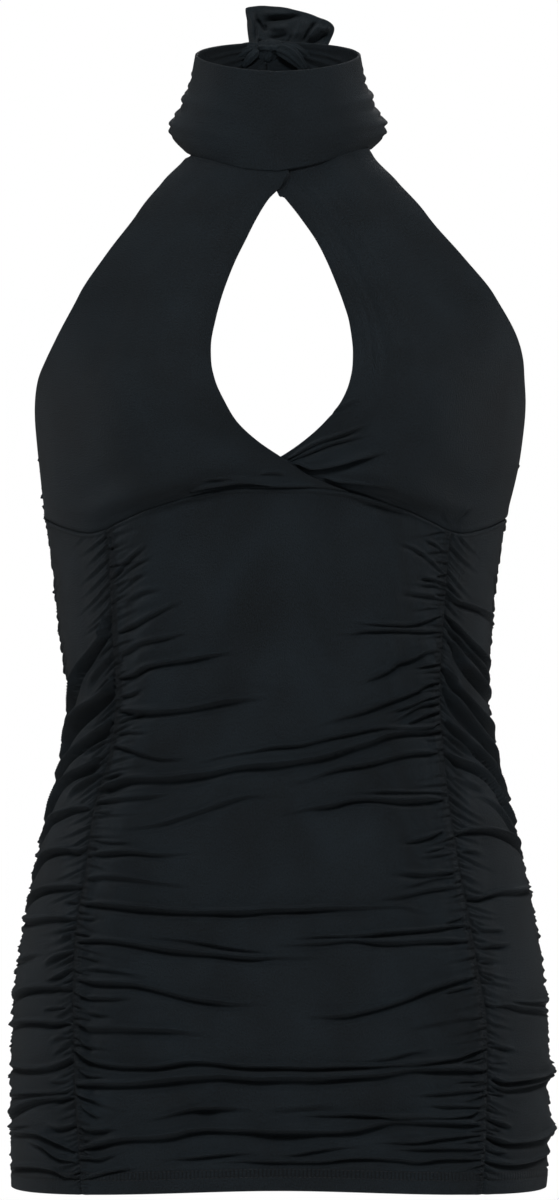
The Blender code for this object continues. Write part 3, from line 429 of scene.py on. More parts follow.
RIGHT_CUP_FOLDS = Table(
    FOLD_COLUMNS,
    (0.6, 1.8, ((16.7, 461.6), (21.5, 465.7), (26.8, 469.8))),
    (1.5, 1.7, ((3.3, 434.4), (12.8, 443.2), (21.4, 449.1), (30.8, 455.6))),
    (1.5, 1.7, ((4.4, 433.2), (15.1, 441.4), (22.9, 445.5), (30.5, 449.1))),
    (2.5, 2.2, ((6.1, 430.9), (10.9, 427.9), (18.5, 430.3), (26.7, 434.3), (37.2, 439.7))),
    (1.3, 1.9, ((15.7, 422.7), (20.6, 419.7), (27.5, 420.3), (37.4, 422.2))),
    (0.6, 1.6, ((54.5, 396.5), (53, 400), (51.5, 405.5))),
    (0.6, 1.7, ((56.5, 398), (58, 403.5), (60, 409))),
    (1.7, 1.6, ((6.2, 609), (3.6, 604.7), (1.2, 601), (-1.2, 597.2))),
)
# The back's folds run in from the side seams, by turns short and long.
BACK_FOLDS_SEED = 77
BACK_FOLD_KINDS = Table(
    "turns depth_share spacing_share", ((9.0, 26.0), 0.65, 0.7), ((40.0, 102.0), 1.0, 1.2)
)
BACK_FOLD_SPACING = (13.0, 21.0)
BACK_FOLD_DEPTHS = (1.3, 2.7)
BACK_FOLD_LOWEST = (14.0, 24.0)
BACK_FOLD_INSET = 2.0  # degrees from the side seam
BACK_FOLD_TOP = 420.0
BACK_FOLD_FALL = (2.0, 10.0)  # a fold's far end hangs by this much, if it is over the hips
BACK_FOLD_HIPS = (150.0, 320.0)
BACK_FOLD_SHIFT = (-3.0, 3.0)
BACK_FOLD_END_SHIFT = (-2.0, 4.0)
BACK_FOLD_BEND = (0.4, 0.8)  # shares of its turns and of its fall where a fold bends
BACK_FOLD_SPREAD = (1.9, 0.35)  # the spread of a fold, and how much it grows with the depth

FOLD_DEPTH = 2.1  # the cloth goes in by this many times a fold's depth to FOLD_DEPTH_POWER
FOLD_DEPTH_POWER = 0.85
FOLD_SPREAD = 0.72
# Places and widths of a fold's trough and ridge, in spreads up from its line.
TROUGH_PLACE = -0.75
TROUGH_ABOVE = 0.8
TROUGH_BELOW = 1.35
RIDGE_PLACE = 1.0
RIDGE_WIDTH = 0.95
RIDGE_SHARE = 0.75
MM_PER_TURN = 2.45  # round the body
FOLD_STEPS = 60
FOLD_START = 2.2  # a fold grows to full depth this far from its seam
SEAM_REACH = 9.0  # a fold that ends this near a seam is held by it
HELD_STRENGTH = (0.7, 0.0, 10.0)  # a held end is shallow and narrow over the first 10 mm
HELD_WIDTH = (0.5, 0.0, 10.0)
FOLD_END_SHARE = 0.45  # a free end dies away over this share of the fold
# A fold's line, strength and width waver by an amount, at a rate for each FOLD_WOBBLE_LENGTH,
# with a multiple of the fold's own phase.
FOLD_WOBBLE_LENGTH = 19.0
LINE_WOBBLE = (0.2, 0.41, 1.0)
STRENGTH_WOBBLE = (0.14, 0.3, 1.7)
WIDTH_WOBBLE = (0.12, 0.23, 2.3)
WOBBLE_START = (0.0, 12.0)
FOLD_MARGIN_SPREADS = 5.0  # a fold is worked out this many spreads and mm round its line
FOLD_MARGIN = 2.0

# Small gathers along the ruched seams. Slant is how much they climb away from the seam, above
# and below SLANT_CHANGE.
GATHERED_EDGES = Table(
    "panel seam seed slant_high slant_low",
    ("front_panel", "princess_left", 21, 0.4, -0.3),
    ("front_panel", "princess_right", 22, -0.15, -0.25),
    ("side_front_left", "princess_left", 23, -0.95, -0.45),
    ("side_front_left", "side_left", 24, 0.5, 0.2),
    ("side_front_right", "princess_right", 25, -0.95, -0.4),
    ("side_front_right", "side_right", 26, 0.5, 0.2),
    ("back_panel", "side_right", 27, -0.4, -0.1),
    ("back_panel", "side_left", 28, -0.4, -0.1),
)
SLANT_CHANGE = (190.0, 250.0)
SLANT_SPREAD = 0.2
# Two sizes of gathers: long ones, and short puckers between them.
GATHER_SIZES = Table(
    "spacing depth reach spread",
    ((4.4, 8), (0.8, 2.9), (7, 19), (1, 1.6)),
    ((2.3, 3.9), (0.45, 1.2), (3, 9), (0.65, 0.95)),
)
GATHER_PROFILE = (0.55, 1.6, 0.95)  # a pleat's ridge: its share, place and width
GATHER_WIDENING = (0.75, 0.0, 8.0)  # a gather is narrow at the seam, and full 8 mm from it
GATHER_START = 0.9
GATHER_LEVELLING = 0.03  # how soon a slanting gather turns level, per mm
GATHER_MARGIN = 4.0  # in spreads
LOWEST_GATHER = -4.0

# Wrinkles too small to place one by one: height in mm, length round and length up of a swell.
WRINKLES = Table(
    "seed height around up",
    (51, 0.55, 95, 23), (52, 0.3, 52, 9), (53, 0.12, 24, 5),
)
WRINKLE_CLIMB = 0.05
WRINKLE_SWAY = 6.0  # they wander up and down by this much
WRINKLE_SWAY_LENGTH = 60.0
WRINKLE_OFFSET = (7.0, 9.0)  # swells from the start of the random table
SWAY_SEED_STEP = 40

# The folds are shallower near the side seams, where SIDE_BUMPS shape the outline.
SIDE_FLATNESS = 0.85
SIDE_FLATNESS_REACH = 9.0
SIDE_BUMP_SAG = 0.012  # a fold hangs lower on both sides of the seam
SIDE_BUMP_INSET = 2.0  # degrees that a deep fold's middle lies in front of the seam, at most
SIDE_BUMP_REACH = 9.0  # how far a fold goes round, and how much further for each mm out
SIDE_BUMP_WIDENING = 2.2
SIDE_BUMP_PROFILE = (0.6, -1.5, 0.8)
SIDE_BUMPS = Table(
    "side height out spread",
    (1, 28, 3.9, 7), (1, 48, 0.7, 2.2), (1, 63, 4, 5.5), (1, 88, 0.5, 2), (1, 108, 1.9, 2.8),
    (1, 132, 0.8, 2), (1, 146, 1.2, 2.4), (1, 172, 1.3, 2.4), (1, 187, 0.7, 2),
    (1, 203, 1.4, 2.4), (1, 213, 0.9, 2), (1, 229, 1.1, 2.4), (1, 262, 0.9, 2.4),
    (1, 281, 0.6, 2), (1, 292, 0.9, 2.2), (1, 303, 0.5, 2), (1, 314, 0.8, 2.4), (1, 325, 0.5, 2),
    (1, 335, 0.9, 2.4), (1, 346, 0.6, 2), (1, 375, 0.4, 3), (-1, 28, 0.9, 2.2), (-1, 42, 0.4, 2),
    (-1, 57, 1, 2.4), (-1, 77, 0.8, 2), (-1, 91, 1.8, 2), (-1, 110, 1.9, 2), (-1, 138, 0.9, 2.4),
    (-1, 151, 1.3, 2.4), (-1, 168, 0.8, 2), (-1, 184, 1.2, 2.6), (-1, 202, 1.4, 2.4),
    (-1, 223, 1, 2.4), (-1, 244, 1.4, 2.6), (-1, 261, 1, 2.4), (-1, 274, 1.5, 6),
    (-1, 292, 0.6, 2), (-1, 308, 0.8, 2.6), (-1, 328, 0.5, 2.2), (-1, 341, 0.8, 2.2),
    (-1, 353, 0.4, 2), (-1, 371, 0.4, 3),
)
SEAM_DIP = 0.95
SEAM_DIP_REACH = 1.2
# The front panel's edges carry the seams' allowances, as bands raised by ALLOWANCE_RISE.
ALLOWANCE = (5.6, 4.6)
ALLOWANCE_RISE = 0.3
ALLOWANCE_FLATNESS = 0.2
SIDE_LADDER = 0.7  # the seam's puckers on the other panels, and how far they reach
SIDE_LADDER_REACH = 2.2
# The seam under the bust stands out as a fine ridge on the panels' top edges.
UNDER_BUST_RIDGE = 0.8
UNDER_BUST_RIDGE_DOWN = 1.1
UNDER_BUST_REACH = 0.8
# Near these edges the relief has a share up to one distance and is full at another.
FLAT_NEAR_HEM = (0.15, 3.0, 15.0)
FLAT_NEAR_TOP = (0.1, 0.5, 4.5)
# The bust hangs over its seam, and the panels go in a little under it.
OVERHANG = SimpleNamespace(out=7.5, turn=40.0, turn_spread=24.0, away=15.0, away_spread=9.5)
HOLLOW = SimpleNamespace(out=-1.9, turn=31.0, turn_spread=10.0, away=4.2, away_spread=3.2)

UNDER_LAYER_STEP = 2.3  # the lower cup lies this far in, back to the turns where it comes out
UNDER_LAYER_TURNS = (38.0, 26.0)
NUB = (-0.6, 596.0)  # the turn and height of the little tab at the straps' crossing
NUB_REACH = 2.2
NUB_DROP = 2.6
UNDER_EDGE_TURN = 26.5  # past the upper cup's edge the lower one is tucked behind the panel
UNDER_EDGE_SPREAD = 5.5
UNDER_EDGE_DROP = 2.2
UNDER_EDGE_REACH = 9.0
UPPER_CUP_SEED = 6
UNDER_CUP_SEED = 5
CUP_TUCK = 3.5  # the straps go up inside the neck band this far
TUCK_DEPTH = 2.2
TUCK_HEIGHTS = (-2.5, 1.0)
CUP_FOLD_START = (0.2, 0.3, 2.4)
CUP_EDGE_PUFF = 0.5  # along the seam the cup puffs out over a fine groove
CUP_EDGE_PUFF_UP = 3.5
CUP_EDGE_REACH = 3.2
CUP_EDGE_DIP = 1.1
CUP_EDGE_DIP_REACH = 1.4
OVERHANG_START = (0.0, 9.0)
CUP_SWELL = 0.25
CUP_SWELL_TURNS = 21.0
CUP_SWELL_UP = 55.0
CUP_SWELL_SEED = 61
CUP_SWELL_START = (0.0, 25.0)

# The hem and the back's top edge are turned in and sewn with two rows of stitches.
HEM_DEPTH = 10.4
HEM_RISE = 0.35
HEM_EDGE = (HEM_DEPTH + 1.2, HEM_DEPTH - 0.4)
NEEDLES_APART = 4.6
NEEDLE_ROWS = (HEM_DEPTH - NEEDLES_APART / 2, HEM_DEPTH + NEEDLES_APART / 2)
HEM_BAND = (NEEDLES_APART / 2 + 0.5, NEEDLES_APART / 2 - 0.3)
STITCH_LENGTH = 2.5
STITCH_PITCH = 2.9
STITCH_RADIUS = 0.24
STITCH_DIP = 0.3
STITCH_DIP_REACH = 0.6
STITCH_SIDES = 6
STITCH_ROW_STEPS = 600
# A stitch is thin where it goes into the cloth: shares of its length, sizes and lifts.
STITCH_POINTS = Table("share size lift", (0.0, 0.45, -0.12), (0.5, 1.0, 0.12), (1.0, 0.45, -0.12))

# ---------------------------------------------------------------- the neck band and its ties

BAND_EDGES = Table(
    "turn_out bottom top",
    (0, 609.2, 669), (20, 611.8, 670.3), (38, 616.2, 673), (60, 621, 677.5), (75, 624, 681),
    (90, 627, 684), (120, 641, 690), (145, 660, 694), (165, 669, 696), (185, 672, 697.5),
)
BAND_SECTIONS = Table(
    "level half_width front back",
    (0, 57.5, 55.5, 52), (0.1, 63.5, 55.2, 52.5), (0.18, 66.3, 54.9, 53), (0.27, 66.3, 54.6, 53),
    (0.37, 61.7, 54.2, 53), (0.45, 58.8, 53.8, 53), (0.54, 58.2, 53.4, 53),
    (0.64, 54.6, 52.8, 53), (0.75, 53.2, 52, 53), (1, 50.6, 50, 52.5),
)
BAND_BOTTOM_TILT = 1.7  # the right half of the front's lower edge is higher
BAND_LEAN = -1.3
BAND_START_TURN = -163.6
BAND_END_TURN = 179.2
BAND_CLOSING_TURN = 7.9  # the band's ends come together under the knot
BAND_CLOSING_LEVELS = (0.97, 0.72)
BAND_SLOUCH = Table(
    "level deepest_turn half_length depth spread",
    (0.13, 82, 20, 0.9, 0.02), (0.24, 88, 26, 1.3, 0.022), (0.34, 84, 28, 1.9, 0.028),
    (0.44, 92, 24, 1, 0.02), (0.52, 96, 26, 1.5, 0.026), (0.6, 100, 20, 0.9, 0.018),
    (0.69, 104, 28, 1.2, 0.024), (0.8, 112, 22, 0.7, 0.02), (0.15, -86, 22, 1, 0.02),
    (0.23, -80, 20, 0.9, 0.018), (0.31, -88, 27, 1.7, 0.026), (0.4, -84, 20, 0.9, 0.018),
    (0.48, -82, 24, 1.6, 0.024), (0.56, -92, 22, 0.9, 0.018), (0.63, -98, 28, 1.3, 0.024),
    (0.77, -108, 24, 0.8, 0.02),
)
BAND_SLOUCH_DEPTH = 1.25
BAND_SLOUCH_PROFILE = (0.7, 1.7, 1.1)
BAND_SLOUCH_WAVER = 0.012  # the creases wander by this level, in 5 waves round the neck
BAND_SLOUCH_WAVES = 5
BAND_SLOUCH_PHASE = 9.0
BAND_SMOOTH_TURNS = (72.0, 94.0)  # no wrinkles show nearer the front than this
NAPE_FOLDS = Table(
    "side level depth spread",
    (-1, 0.1, 1.1, 0.035), (-1, 0.25, 1.4, 0.04), (-1, 0.42, 1.5, 0.04), (-1, 0.56, 1.2, 0.032),
    (-1, 0.7, 1.5, 0.036), (-1, 0.86, 1, 0.028), (1, 0.08, 1.1, 0.035), (1, 0.28, 1.5, 0.045),
    (1, 0.47, 1.6, 0.045), (1, 0.66, 1.4, 0.038), (1, 0.82, 1.1, 0.032),
)
NAPE_PROFILE = (0.7, 1.9, 1.3)
NAPE_WAVER = 0.018
NAPE_WAVER_TURNS = 11.0
NAPE_WAVER_PHASE = 20.0
NAPE_FOLD_TURNS = (108.0, 162.0)  # the folds deepen between these turns
NAPE_CLOSING_TURNS = (150.0, 181.0)  # and run together between these
NAPE_CLOSING_LEVEL = 0.80
NAPE_CLOSING_SHARE = 0.8

KNOT_CENTRE = (-8.3, 53.5, 691.2)
# Sections of the knot's body: how high over its centre, how far to the right, and half sizes.
KNOT_SECTIONS = Table(
    "rise shift half_width half_depth",
    (-7.6, 0.4, 1.2, 1.2), (-6.9, 0.4, 3.6, 3), (-4.6, 0.4, 5.8, 5.2), (-2.4, 0.9, 6.6, 6.2),
    (-0.9, 2, 8.4, 7), (0.4, 3.2, 10.8, 8.6), (2, 3.5, 10.8, 8.6), (3.4, 3.4, 8.8, 6.6),
    (5.2, 3.2, 8.4, 5), (6.6, 3, 6.4, 3.4), (7.4, 2.8, 2.4, 1.4),
)
KNOT_NECK = (2.6, 4.2)  # over this the cloth is gathered
KNOT_BULGE = (-1.2, -3.0)  # and under this it is pleated
# Pleats of the neck, the bulge and the wrap between them.
KNOT_PLEATS = Table(
    "depth count sway sway_count climb",
    (0.05, 13, 1.5, 3, 0.0),
    (0.085, 10, 0.8, 3, 0.12),
    (0.06, 9, 2.0, 4, 0.7),
)
KNOT_TILT = -0.05
# Rolls of cloth leaving the knot, through points right of, behind and over its centre.
KNOT_LOOPS = Table(
    "start middle end half_width half_depth ridges skew",
    ((6.5, -5.5, 0.6), (14.5, -9.0, -2.4), (23.5, -7.0, -11.5), 4.6, 2.6, 7, 0.8),
    ((8.0, -4.0, 2.4), (17.0, -6.0, 1.6), (27.0, -4.5, -5.0), 2.6, 1.8, 5, 0.9),
    ((-6.0, -4.5, 1.6), (-12.5, -6.5, -0.6), (-21.0, -5.0, -6.6), 2.5, 1.8, 5, 0.9),
    ((-5.5, -5.0, 0.0), (-9.5, -7.6, -4.0), (-14.5, -6.0, -10.0), 2.6, 2.0, 5, 0.8),
    ((-5.5, -3.5, 3.2), (-13.5, -5.0, 3.0), (-25.0, -3.5, -1.0), 1.9, 1.4, 5, 0.9),
)
LOOP_RIDGE = 0.13
LOOP_RIDGE_TWIST = 1.4
LOOP_END = 0.06  # the share of a round section that is cut off a loop's ends

FAN_CENTRE = (-8.3, 57.0, 691.2)
FAN_OUTLINE = Table(
    "angle reach",
    (2, 35), (13, 40.5), (22, 44.8), (37, 38.5), (62, 31.5), (86, 29.8), (104, 30.4), (114, 31),
    (121, 23.5), (140, 14.5), (158, 11),
)
FAN_ROOT = 5.6
FAN_LEAN_BACK = 13.0
FAN_PLEATS = Table(
    "angle push spread",
    (14, -1.5, 5), (30, 2, 7), (62, 1.6, 13), (84, -1.4, 8), (112, 1.6, 6),
)
# Creases of the fan through points right of its centre and above it. A crease goes in by its
# depth, and one with a depth below zero stands out.
FAN_CREASES = Table(
    FOLD_COLUMNS,
    (3.6, 1.5, ((-3, 17), (-0.5, 19.5), (2.5, 21), (7, 21.5), (12, 22), (17.5, 23), (23, 23.5))),
    (-1.9, 2.2, ((-6.5, 24.5), (-0.5, 25), (8.5, 25), (16, 24.5))),
    (2.6, 1.2, ((-6.5, 22), (-4, 18), (-2.5, 15.5), (-0.5, 12.5))),
    (1.8, 1, ((-1, 18.5), (-0.5, 15.5), (-0.5, 12.5))),
    (1.5, 0.9, ((-6.5, 28), (-6.5, 21), (-6.5, 13.5), (-6.5, 6.5))),
    (-1.2, 2.2, ((-9.5, 27), (-9.5, 17), (-9, 7))),
    (-2.3, 2.6, ((1, 14.5), (5, 15.5), (9.5, 15.5), (14.5, 16))),
    (1.7, 1.3, ((-0.5, 9.5), (4.5, 9), (10, 10), (14.5, 12))),
    (-1.9, 2.6, ((18, 8), (19.5, 13), (22, 18.5), (25.5, 22.5))),
    (3.2, 1.4, ((20.5, 5), (24, 9.5), (26.5, 13.5), (29, 17.5), (32.5, 20.5))),
    (-1.7, 1.8, ((25, 8), (28, 12.5), (31.5, 16), (34, 19.5))),
    (3.6, 1.9, ((22, 4.5), (27.5, 6.5), (32, 9), (35.5, 11.5), (40.5, 12))),
    (-1.4, 1.6, ((32.5, 13.5), (37, 15.5), (40.5, 17))),
    (-1.6, 1.9, ((23, 3), (30, 4.5), (38, 6))),
    (0.9, 0.6, ((4, 3), (4.5, 5.5), (5, 9))),
    (0.8, 0.6, ((6.5, 3), (7, 5.5), (8.5, 9))),
    (1.4, 1, ((-3.5, 3), (-4, 5.5), (-4.5, 9))),
    (1.3, 1.2, ((11, 3), (13.5, 7.5), (16.5, 12))),
    (0.7, 0.7, ((1, 3), (0.5, 5.5), (-0.5, 8))),
)
FAN_CREASE_DEPTH = 2.0  # a crease is deeper than its row says by this many times
FAN_CREASE_END_SHARE = 0.35

HANGING_TIE_LENGTH = 66.0
HANGING_TIE_TOP = -6.0
HANGING_TIE_TOP_WIDTH = 15.0
HANGING_TIE_WIDTH = 36.0
HANGING_TIE_SLANT = 9.0
HANGING_TIE_FOLD = 2.2
HANGING_TIE_FOLDS = 2.5
HANGING_TIE_WIDENS_BY = 0.75
HANGING_TIE_FOLDS_BY = 0.4
HANGING_TIE_PLEAT = 1.8
HANGING_TIE_PLEAT_RATE = 9.0
HANGING_TIE_PLEAT_SHIFT = 1.1
HANGING_TIE_PLEAT_SHARES = (0.9, 0.05)  # the pleats open between these shares of its length
HANGING_TIE_BEHIND = 6.5
HANGING_TIE_BOW = 5.0
HANGING_TIE_BOW_TURN = 108.0

# Grids of the shells: columns across and rows up each piece.
FRONT_GRID = (111, 701)
SIDE_GRID = (81, 621)
BACK_GRID = (81, 561)
CUP_GRID = (151, 241)
BAND_GRID = (401, 81)
KNOT_GRID = (130, 80)
LOOP_GRID = (50, 40)
FAN_GRID = (221, 81)
HANGING_TIE_GRID = (71, 91)
HEM_ROWS = 40
HEM_ROWS_HEIGHT = 15.0
EDGE_CROWDING = 0.62  # how much closer together the columns lie at a panel's edges


# ---------------------------------------------------------------- the smooth worn form


def superellipse(turn, half_width, front, back, power):
    """The radius of a section at a turn."""
    depth = np.where(cosine(turn) > 0, front, back)
    total = np.abs(cosine(turn) / depth) ** power + np.abs(sine(turn) / half_width) ** power
    return total ** (-1 / power)


def bust_rise(x, height):
    hill = bump((np.abs(x) - BUST_APEX_ACROSS) / BUST_SPREAD_ACROSS)
    across = np.where(np.abs(x) < BUST_APEX_ACROSS, stretch(BUST_BRIDGE, 1, hill), hill)
    above = (height - BUST_APEX_HEIGHT) / BUST_SPREAD_UP
    below = np.maximum(BUST_APEX_HEIGHT - height, 0) / BUST_SPREAD_DOWN
    return BUST_RISE * across * np.where(above > 0, bump(above), np.exp(-(below**BUST_FALL)))


def body_point(turn, height):
    turn, height = np.broadcast_arrays(np.asarray(turn, float), np.asarray(height, float))
    half_width, front, back, lean = SECTIONS.curves(height)
    radius = superellipse(turn, half_width, front, back, BODY_ROUNDNESS)
    x = radius * sine(turn)
    forward = radius * cosine(turn) + bust_rise(x, height) * np.clip(BUST_WRAP * cosine(turn), 0, 1)
    return np.stack([x + lean, -forward, height], axis=-1)


def body_normal(turn, height):
    step = 0.5
    around = body_point(turn + step, height) - body_point(turn - step, height)
    up = body_point(turn, height + step) - body_point(turn, height - step)
    return unit(np.cross(around, up))


def girth_per_degree(turn, height):
    """Millimetres round the body for one degree of turn."""
    return np.linalg.norm(body_point(turn + 0.5, height) - body_point(turn - 0.5, height), axis=-1)


SEAM_TURNS = {
    "princess_left": lambda height: PRINCESS_SEAMS.curve("left", height),
    "princess_right": lambda height: PRINCESS_SEAMS.curve("right", height),
    "side_left": lambda height: -SIDE_SEAM_TURN + 0.0 * height,
    "side_right": lambda height: SIDE_SEAM_TURN + 0.0 * height,
}


def seam_distance(turn, height, seam):
    apart = np.abs(turn_between(SEAM_TURNS[seam](height), turn))
    return apart * girth_per_degree(turn, height)


def under_bust_height(turn):
    return UNDER_BUST_SEAM.curve("height", np.abs(turn))


def hem_height(turn):
    return HEM_FRONT_HEIGHT - HEM_SIDE_DROP * sine(turn) ** 2


def back_top_height(turn):
    return UNDERARM_HEIGHT - BACK_TOP_DIP * cosine(turn) ** 2


def back_folds():
    rng = np.random.default_rng(BACK_FOLDS_SEED)
    kinds = list(BACK_FOLD_KINDS)
    folds = []
    for side in (1, -1):
        start = 180 - side * (180 - SIDE_SEAM_TURN - BACK_FOLD_INSET)
        height = rng.uniform(*BACK_FOLD_LOWEST)
        while height < BACK_FOLD_TOP:
            kind = kinds[len(folds) % 2]
            turns = side * rng.uniform(*kind.turns)
            depth = rng.uniform(*BACK_FOLD_DEPTHS) * kind.depth_share
            fall = rng.uniform(*BACK_FOLD_FALL) * ramp(*BACK_FOLD_HIPS, height)
            fall += rng.uniform(*BACK_FOLD_SHIFT)
            bend = (start + BACK_FOLD_BEND[0] * turns, height - BACK_FOLD_BEND[1] * fall)
            end = (start + turns, height - fall + rng.uniform(*BACK_FOLD_END_SHIFT))
            spread = BACK_FOLD_SPREAD[0] + BACK_FOLD_SPREAD[1] * depth
            folds.append((depth, spread, ((start, height), bend, end)))
            height += rng.uniform(*BACK_FOLD_SPACING) * kind.spacing_share
    return Table(FOLD_COLUMNS, *folds)


PANELS = Table(
    "name grid left_seam right_seam top_height middle_turn seed folds",
    ("front_panel", FRONT_GRID, "princess_left", "princess_right", under_bust_height, 0.0, 11,
        FRONT_FOLDS),
    ("side_front_left", SIDE_GRID, "side_left", "princess_left", under_bust_height, 75.0, 15,
        LEFT_FOLDS),
    ("side_front_right", SIDE_GRID, "princess_right", "side_right", under_bust_height, 75.0, 16,
        RIGHT_FOLDS),
    ("back_panel", BACK_GRID, "side_right", "side_left", back_top_height, 180.0, 10,
        back_folds()),
)


# ---------------------------------------------------------------- relief of the cloth


def is_held(end, seams):
    """Whether a fold's end (turn, height) lies at one of the seams."""
    away = [abs(turn_between(SEAM_TURNS[seam](end[1]), end[0])) for seam in seams]
    return min(away) * MM_PER_TURN < SEAM_REACH


def measured_from(places, points):
    """How far places lie along, beyond the ends of and above a curve, and the curve's length."""
    points = np.array(points, float)
    line = evenly(points, run_of(points), FOLD_STEPS)
    run = run_of(line)
    nearest = np.argmin(((places[:, None] - line) ** 2).sum(axis=-1), axis=1)
    apart = places - line[nearest]
    course = unit(np.gradient(line, axis=0))[nearest]
    along = run[nearest] + np.sum(apart * course, axis=-1)
    beyond = np.maximum(-along, along - run[-1]).clip(0)
    above = course[:, 0] * apart[:, 1] - course[:, 1] * apart[:, 0]
    above = above * (1 if line[-1, 0] >= line[0, 0] else -1)
    return along.clip(0, run[-1]), beyond, above, run[-1]


def fold_relief(turn, height, phase, fold, held):
    """How far one fold pushes the cloth out (+) or in (-)."""
    places = np.stack([turn * MM_PER_TURN, height], axis=-1)
    points = np.array(fold.line, float) * [MM_PER_TURN, 1]
    along, beyond, above, length = measured_from(places, points)
    swing = 2 * np.pi * along / FOLD_WOBBLE_LENGTH
    line_wobble, strength_wobble, width_wobble = (
        amount * np.sin(rate * swing + phases * phase)
        for amount, rate, phases in (LINE_WOBBLE, STRENGTH_WOBBLE, WIDTH_WOBBLE)
    )
    above = above - line_wobble * ramp(*WOBBLE_START, along)
    strength = 1 + strength_wobble
    width = 1 + width_wobble
    for to_end, is_end_held in zip((along, length - along), held):
        if is_end_held:
            strength *= rise_from(*HELD_STRENGTH, to_end)
            width *= rise_from(*HELD_WIDTH, to_end)
        else:
            strength *= ramp(0, FOLD_END_SHARE * length, to_end)
    spread = FOLD_SPREAD * fold.spread * width
    beside = above / spread
    trough_width = np.where(beside > TROUGH_PLACE, TROUGH_ABOVE, TROUGH_BELOW)
    trough = bump((beside - TROUGH_PLACE) / trough_width)
    ridge = RIDGE_SHARE * bump((beside - RIDGE_PLACE) / RIDGE_WIDTH)
    depth = FOLD_DEPTH * fold.depth**FOLD_DEPTH_POWER
    return depth * strength * bump(beyond / spread) * (ridge - trough)


def folds_relief(turn, height, folds, seed, seams=()):
    rng = np.random.default_rng(seed)
    relief = np.zeros_like(height)
    for fold in folds:
        phase = rng.uniform(0, 2 * np.pi)
        turns, heights = np.array(fold.line, float).T
        margin = FOLD_MARGIN_SPREADS * fold.spread + FOLD_MARGIN
        near = (height > heights.min() - margin) & (height < heights.max() + margin)
        near &= (turn > turns.min() - margin / 2) & (turn < turns.max() + margin / 2)
        held = [is_held(fold.line[end], seams) for end in (0, -1)] if seams else (True, False)
        relief[near] += fold_relief(turn[near], height[near], phase, fold, held)
    return relief


def gather_relief(distance, height, edge):
    """Irregular small gathers along one edge of a panel."""
    rng = np.random.default_rng(edge.seed)
    relief = np.zeros_like(height)
    for size in GATHER_SIZES:
        centre = LOWEST_GATHER
        while centre < UNDERARM_HEIGHT:
            ranges = (size.depth, size.reach, size.spread)
            depth, reach, spread = (rng.uniform(*range_of) for range_of in ranges)
            slant = stretch(edge.slant_low, edge.slant_high, ramp(*SLANT_CHANGE, centre))
            slant += rng.uniform(-SLANT_SPREAD, SLANT_SPREAD)
            climb = slant / GATHER_LEVELLING * (1 - np.exp(-GATHER_LEVELLING * distance))
            beside = (height - centre - climb) / (spread * rise_from(*GATHER_WIDENING, distance))
            near = np.abs(beside) < GATHER_MARGIN
            profile = pleat(beside[near], *GATHER_PROFILE)
            relief[near] += depth * profile * bump(distance[near] / reach)
            centre += rng.uniform(*size.spacing)
    return relief * ramp(0, GATHER_START, distance)


def wrinkles(turn, height):
    """Faint long wrinkles in between, level all over the ruched cloth."""
    around = turn * MM_PER_TURN
    relief = np.zeros_like(height)
    for row in WRINKLES:
        x, y = around / WRINKLE_SWAY_LENGTH, height / WRINKLE_SWAY_LENGTH
        sway = WRINKLE_SWAY * swells(x, y, row.seed + SWAY_SEED_STEP)
        lift = height + WRINKLE_CLIMB * around + sway
        x, y = around / row.around + WRINKLE_OFFSET[0], lift / row.up + WRINKLE_OFFSET[1]
        relief += row.height * swells(x, y, row.seed)
    return relief


def side_bumps(turn, height):
    """Folds that stand out over the side seams."""
    relief = np.zeros_like(height)
    for row in SIDE_BUMPS:
        centre = (SIDE_SEAM_TURN - min(row.out, SIDE_BUMP_INSET)) * row.side
        apart = turn_between(centre, turn) * MM_PER_TURN
        line = row.height + SIDE_BUMP_SAG * apart**2
        reach = SIDE_BUMP_REACH + SIDE_BUMP_WIDENING * row.out
        profile = pleat((height - line) / row.spread, *SIDE_BUMP_PROFILE)
        relief -= row.out * profile * bump(apart / reach)
    return relief


def mound(shape, turn, away):
    """A soft hill as high on the left as on the right of the front, at a distance from a seam."""
    sideways = bump((np.abs(turn) - shape.turn) / shape.turn_spread)
    return shape.out * sideways * bump((away - shape.away) / shape.away_spread)


def panel_relief(panel, turn, height):
    seams = (panel.left_seam, panel.right_seam)
    distances = {seam: seam_distance(turn, height, seam) for seam in seams}
    nearest = np.minimum(*distances.values())
    relief = folds_relief(turn, height, panel.folds, panel.seed, seams) + wrinkles(turn, height)
    relief *= ramp(0, FOLD_START, nearest)
    relief *= 1 - SIDE_FLATNESS * bump((np.abs(turn) - SIDE_SEAM_TURN) / SIDE_FLATNESS_REACH)
    relief += side_bumps(turn, height)
    for edge in GATHERED_EDGES:
        if edge.panel == panel.name:
            relief += gather_relief(distances[edge.seam], height, edge)
    up = height - hem_height(turn)
    down = panel.top_height(turn) - height
    relief *= rise_from(*FLAT_NEAR_HEM, up) * rise_from(*FLAT_NEAR_TOP, down)
    if panel.name == "front_panel":
        allowance = ramp(*ALLOWANCE, nearest)
        relief = relief * (1 - ALLOWANCE_FLATNESS * allowance) + ALLOWANCE_RISE * allowance
    relief -= SEAM_DIP * bump(nearest / SEAM_DIP_REACH)
    relief += HEM_RISE * ramp(*HEM_EDGE, up)
    for row in NEEDLE_ROWS:
        relief -= STITCH_DIP * bump((up - row) / STITCH_DIP_REACH)
    if panel.name == "back_panel":
        return relief + HEM_RISE * ramp(*HEM_EDGE, down)
    relief += UNDER_BUST_RIDGE * bump((down - UNDER_BUST_RIDGE_DOWN) / UNDER_BUST_REACH)
    return relief + mound(HOLLOW, turn, down)


# ---------------------------------------------------------------- meshes


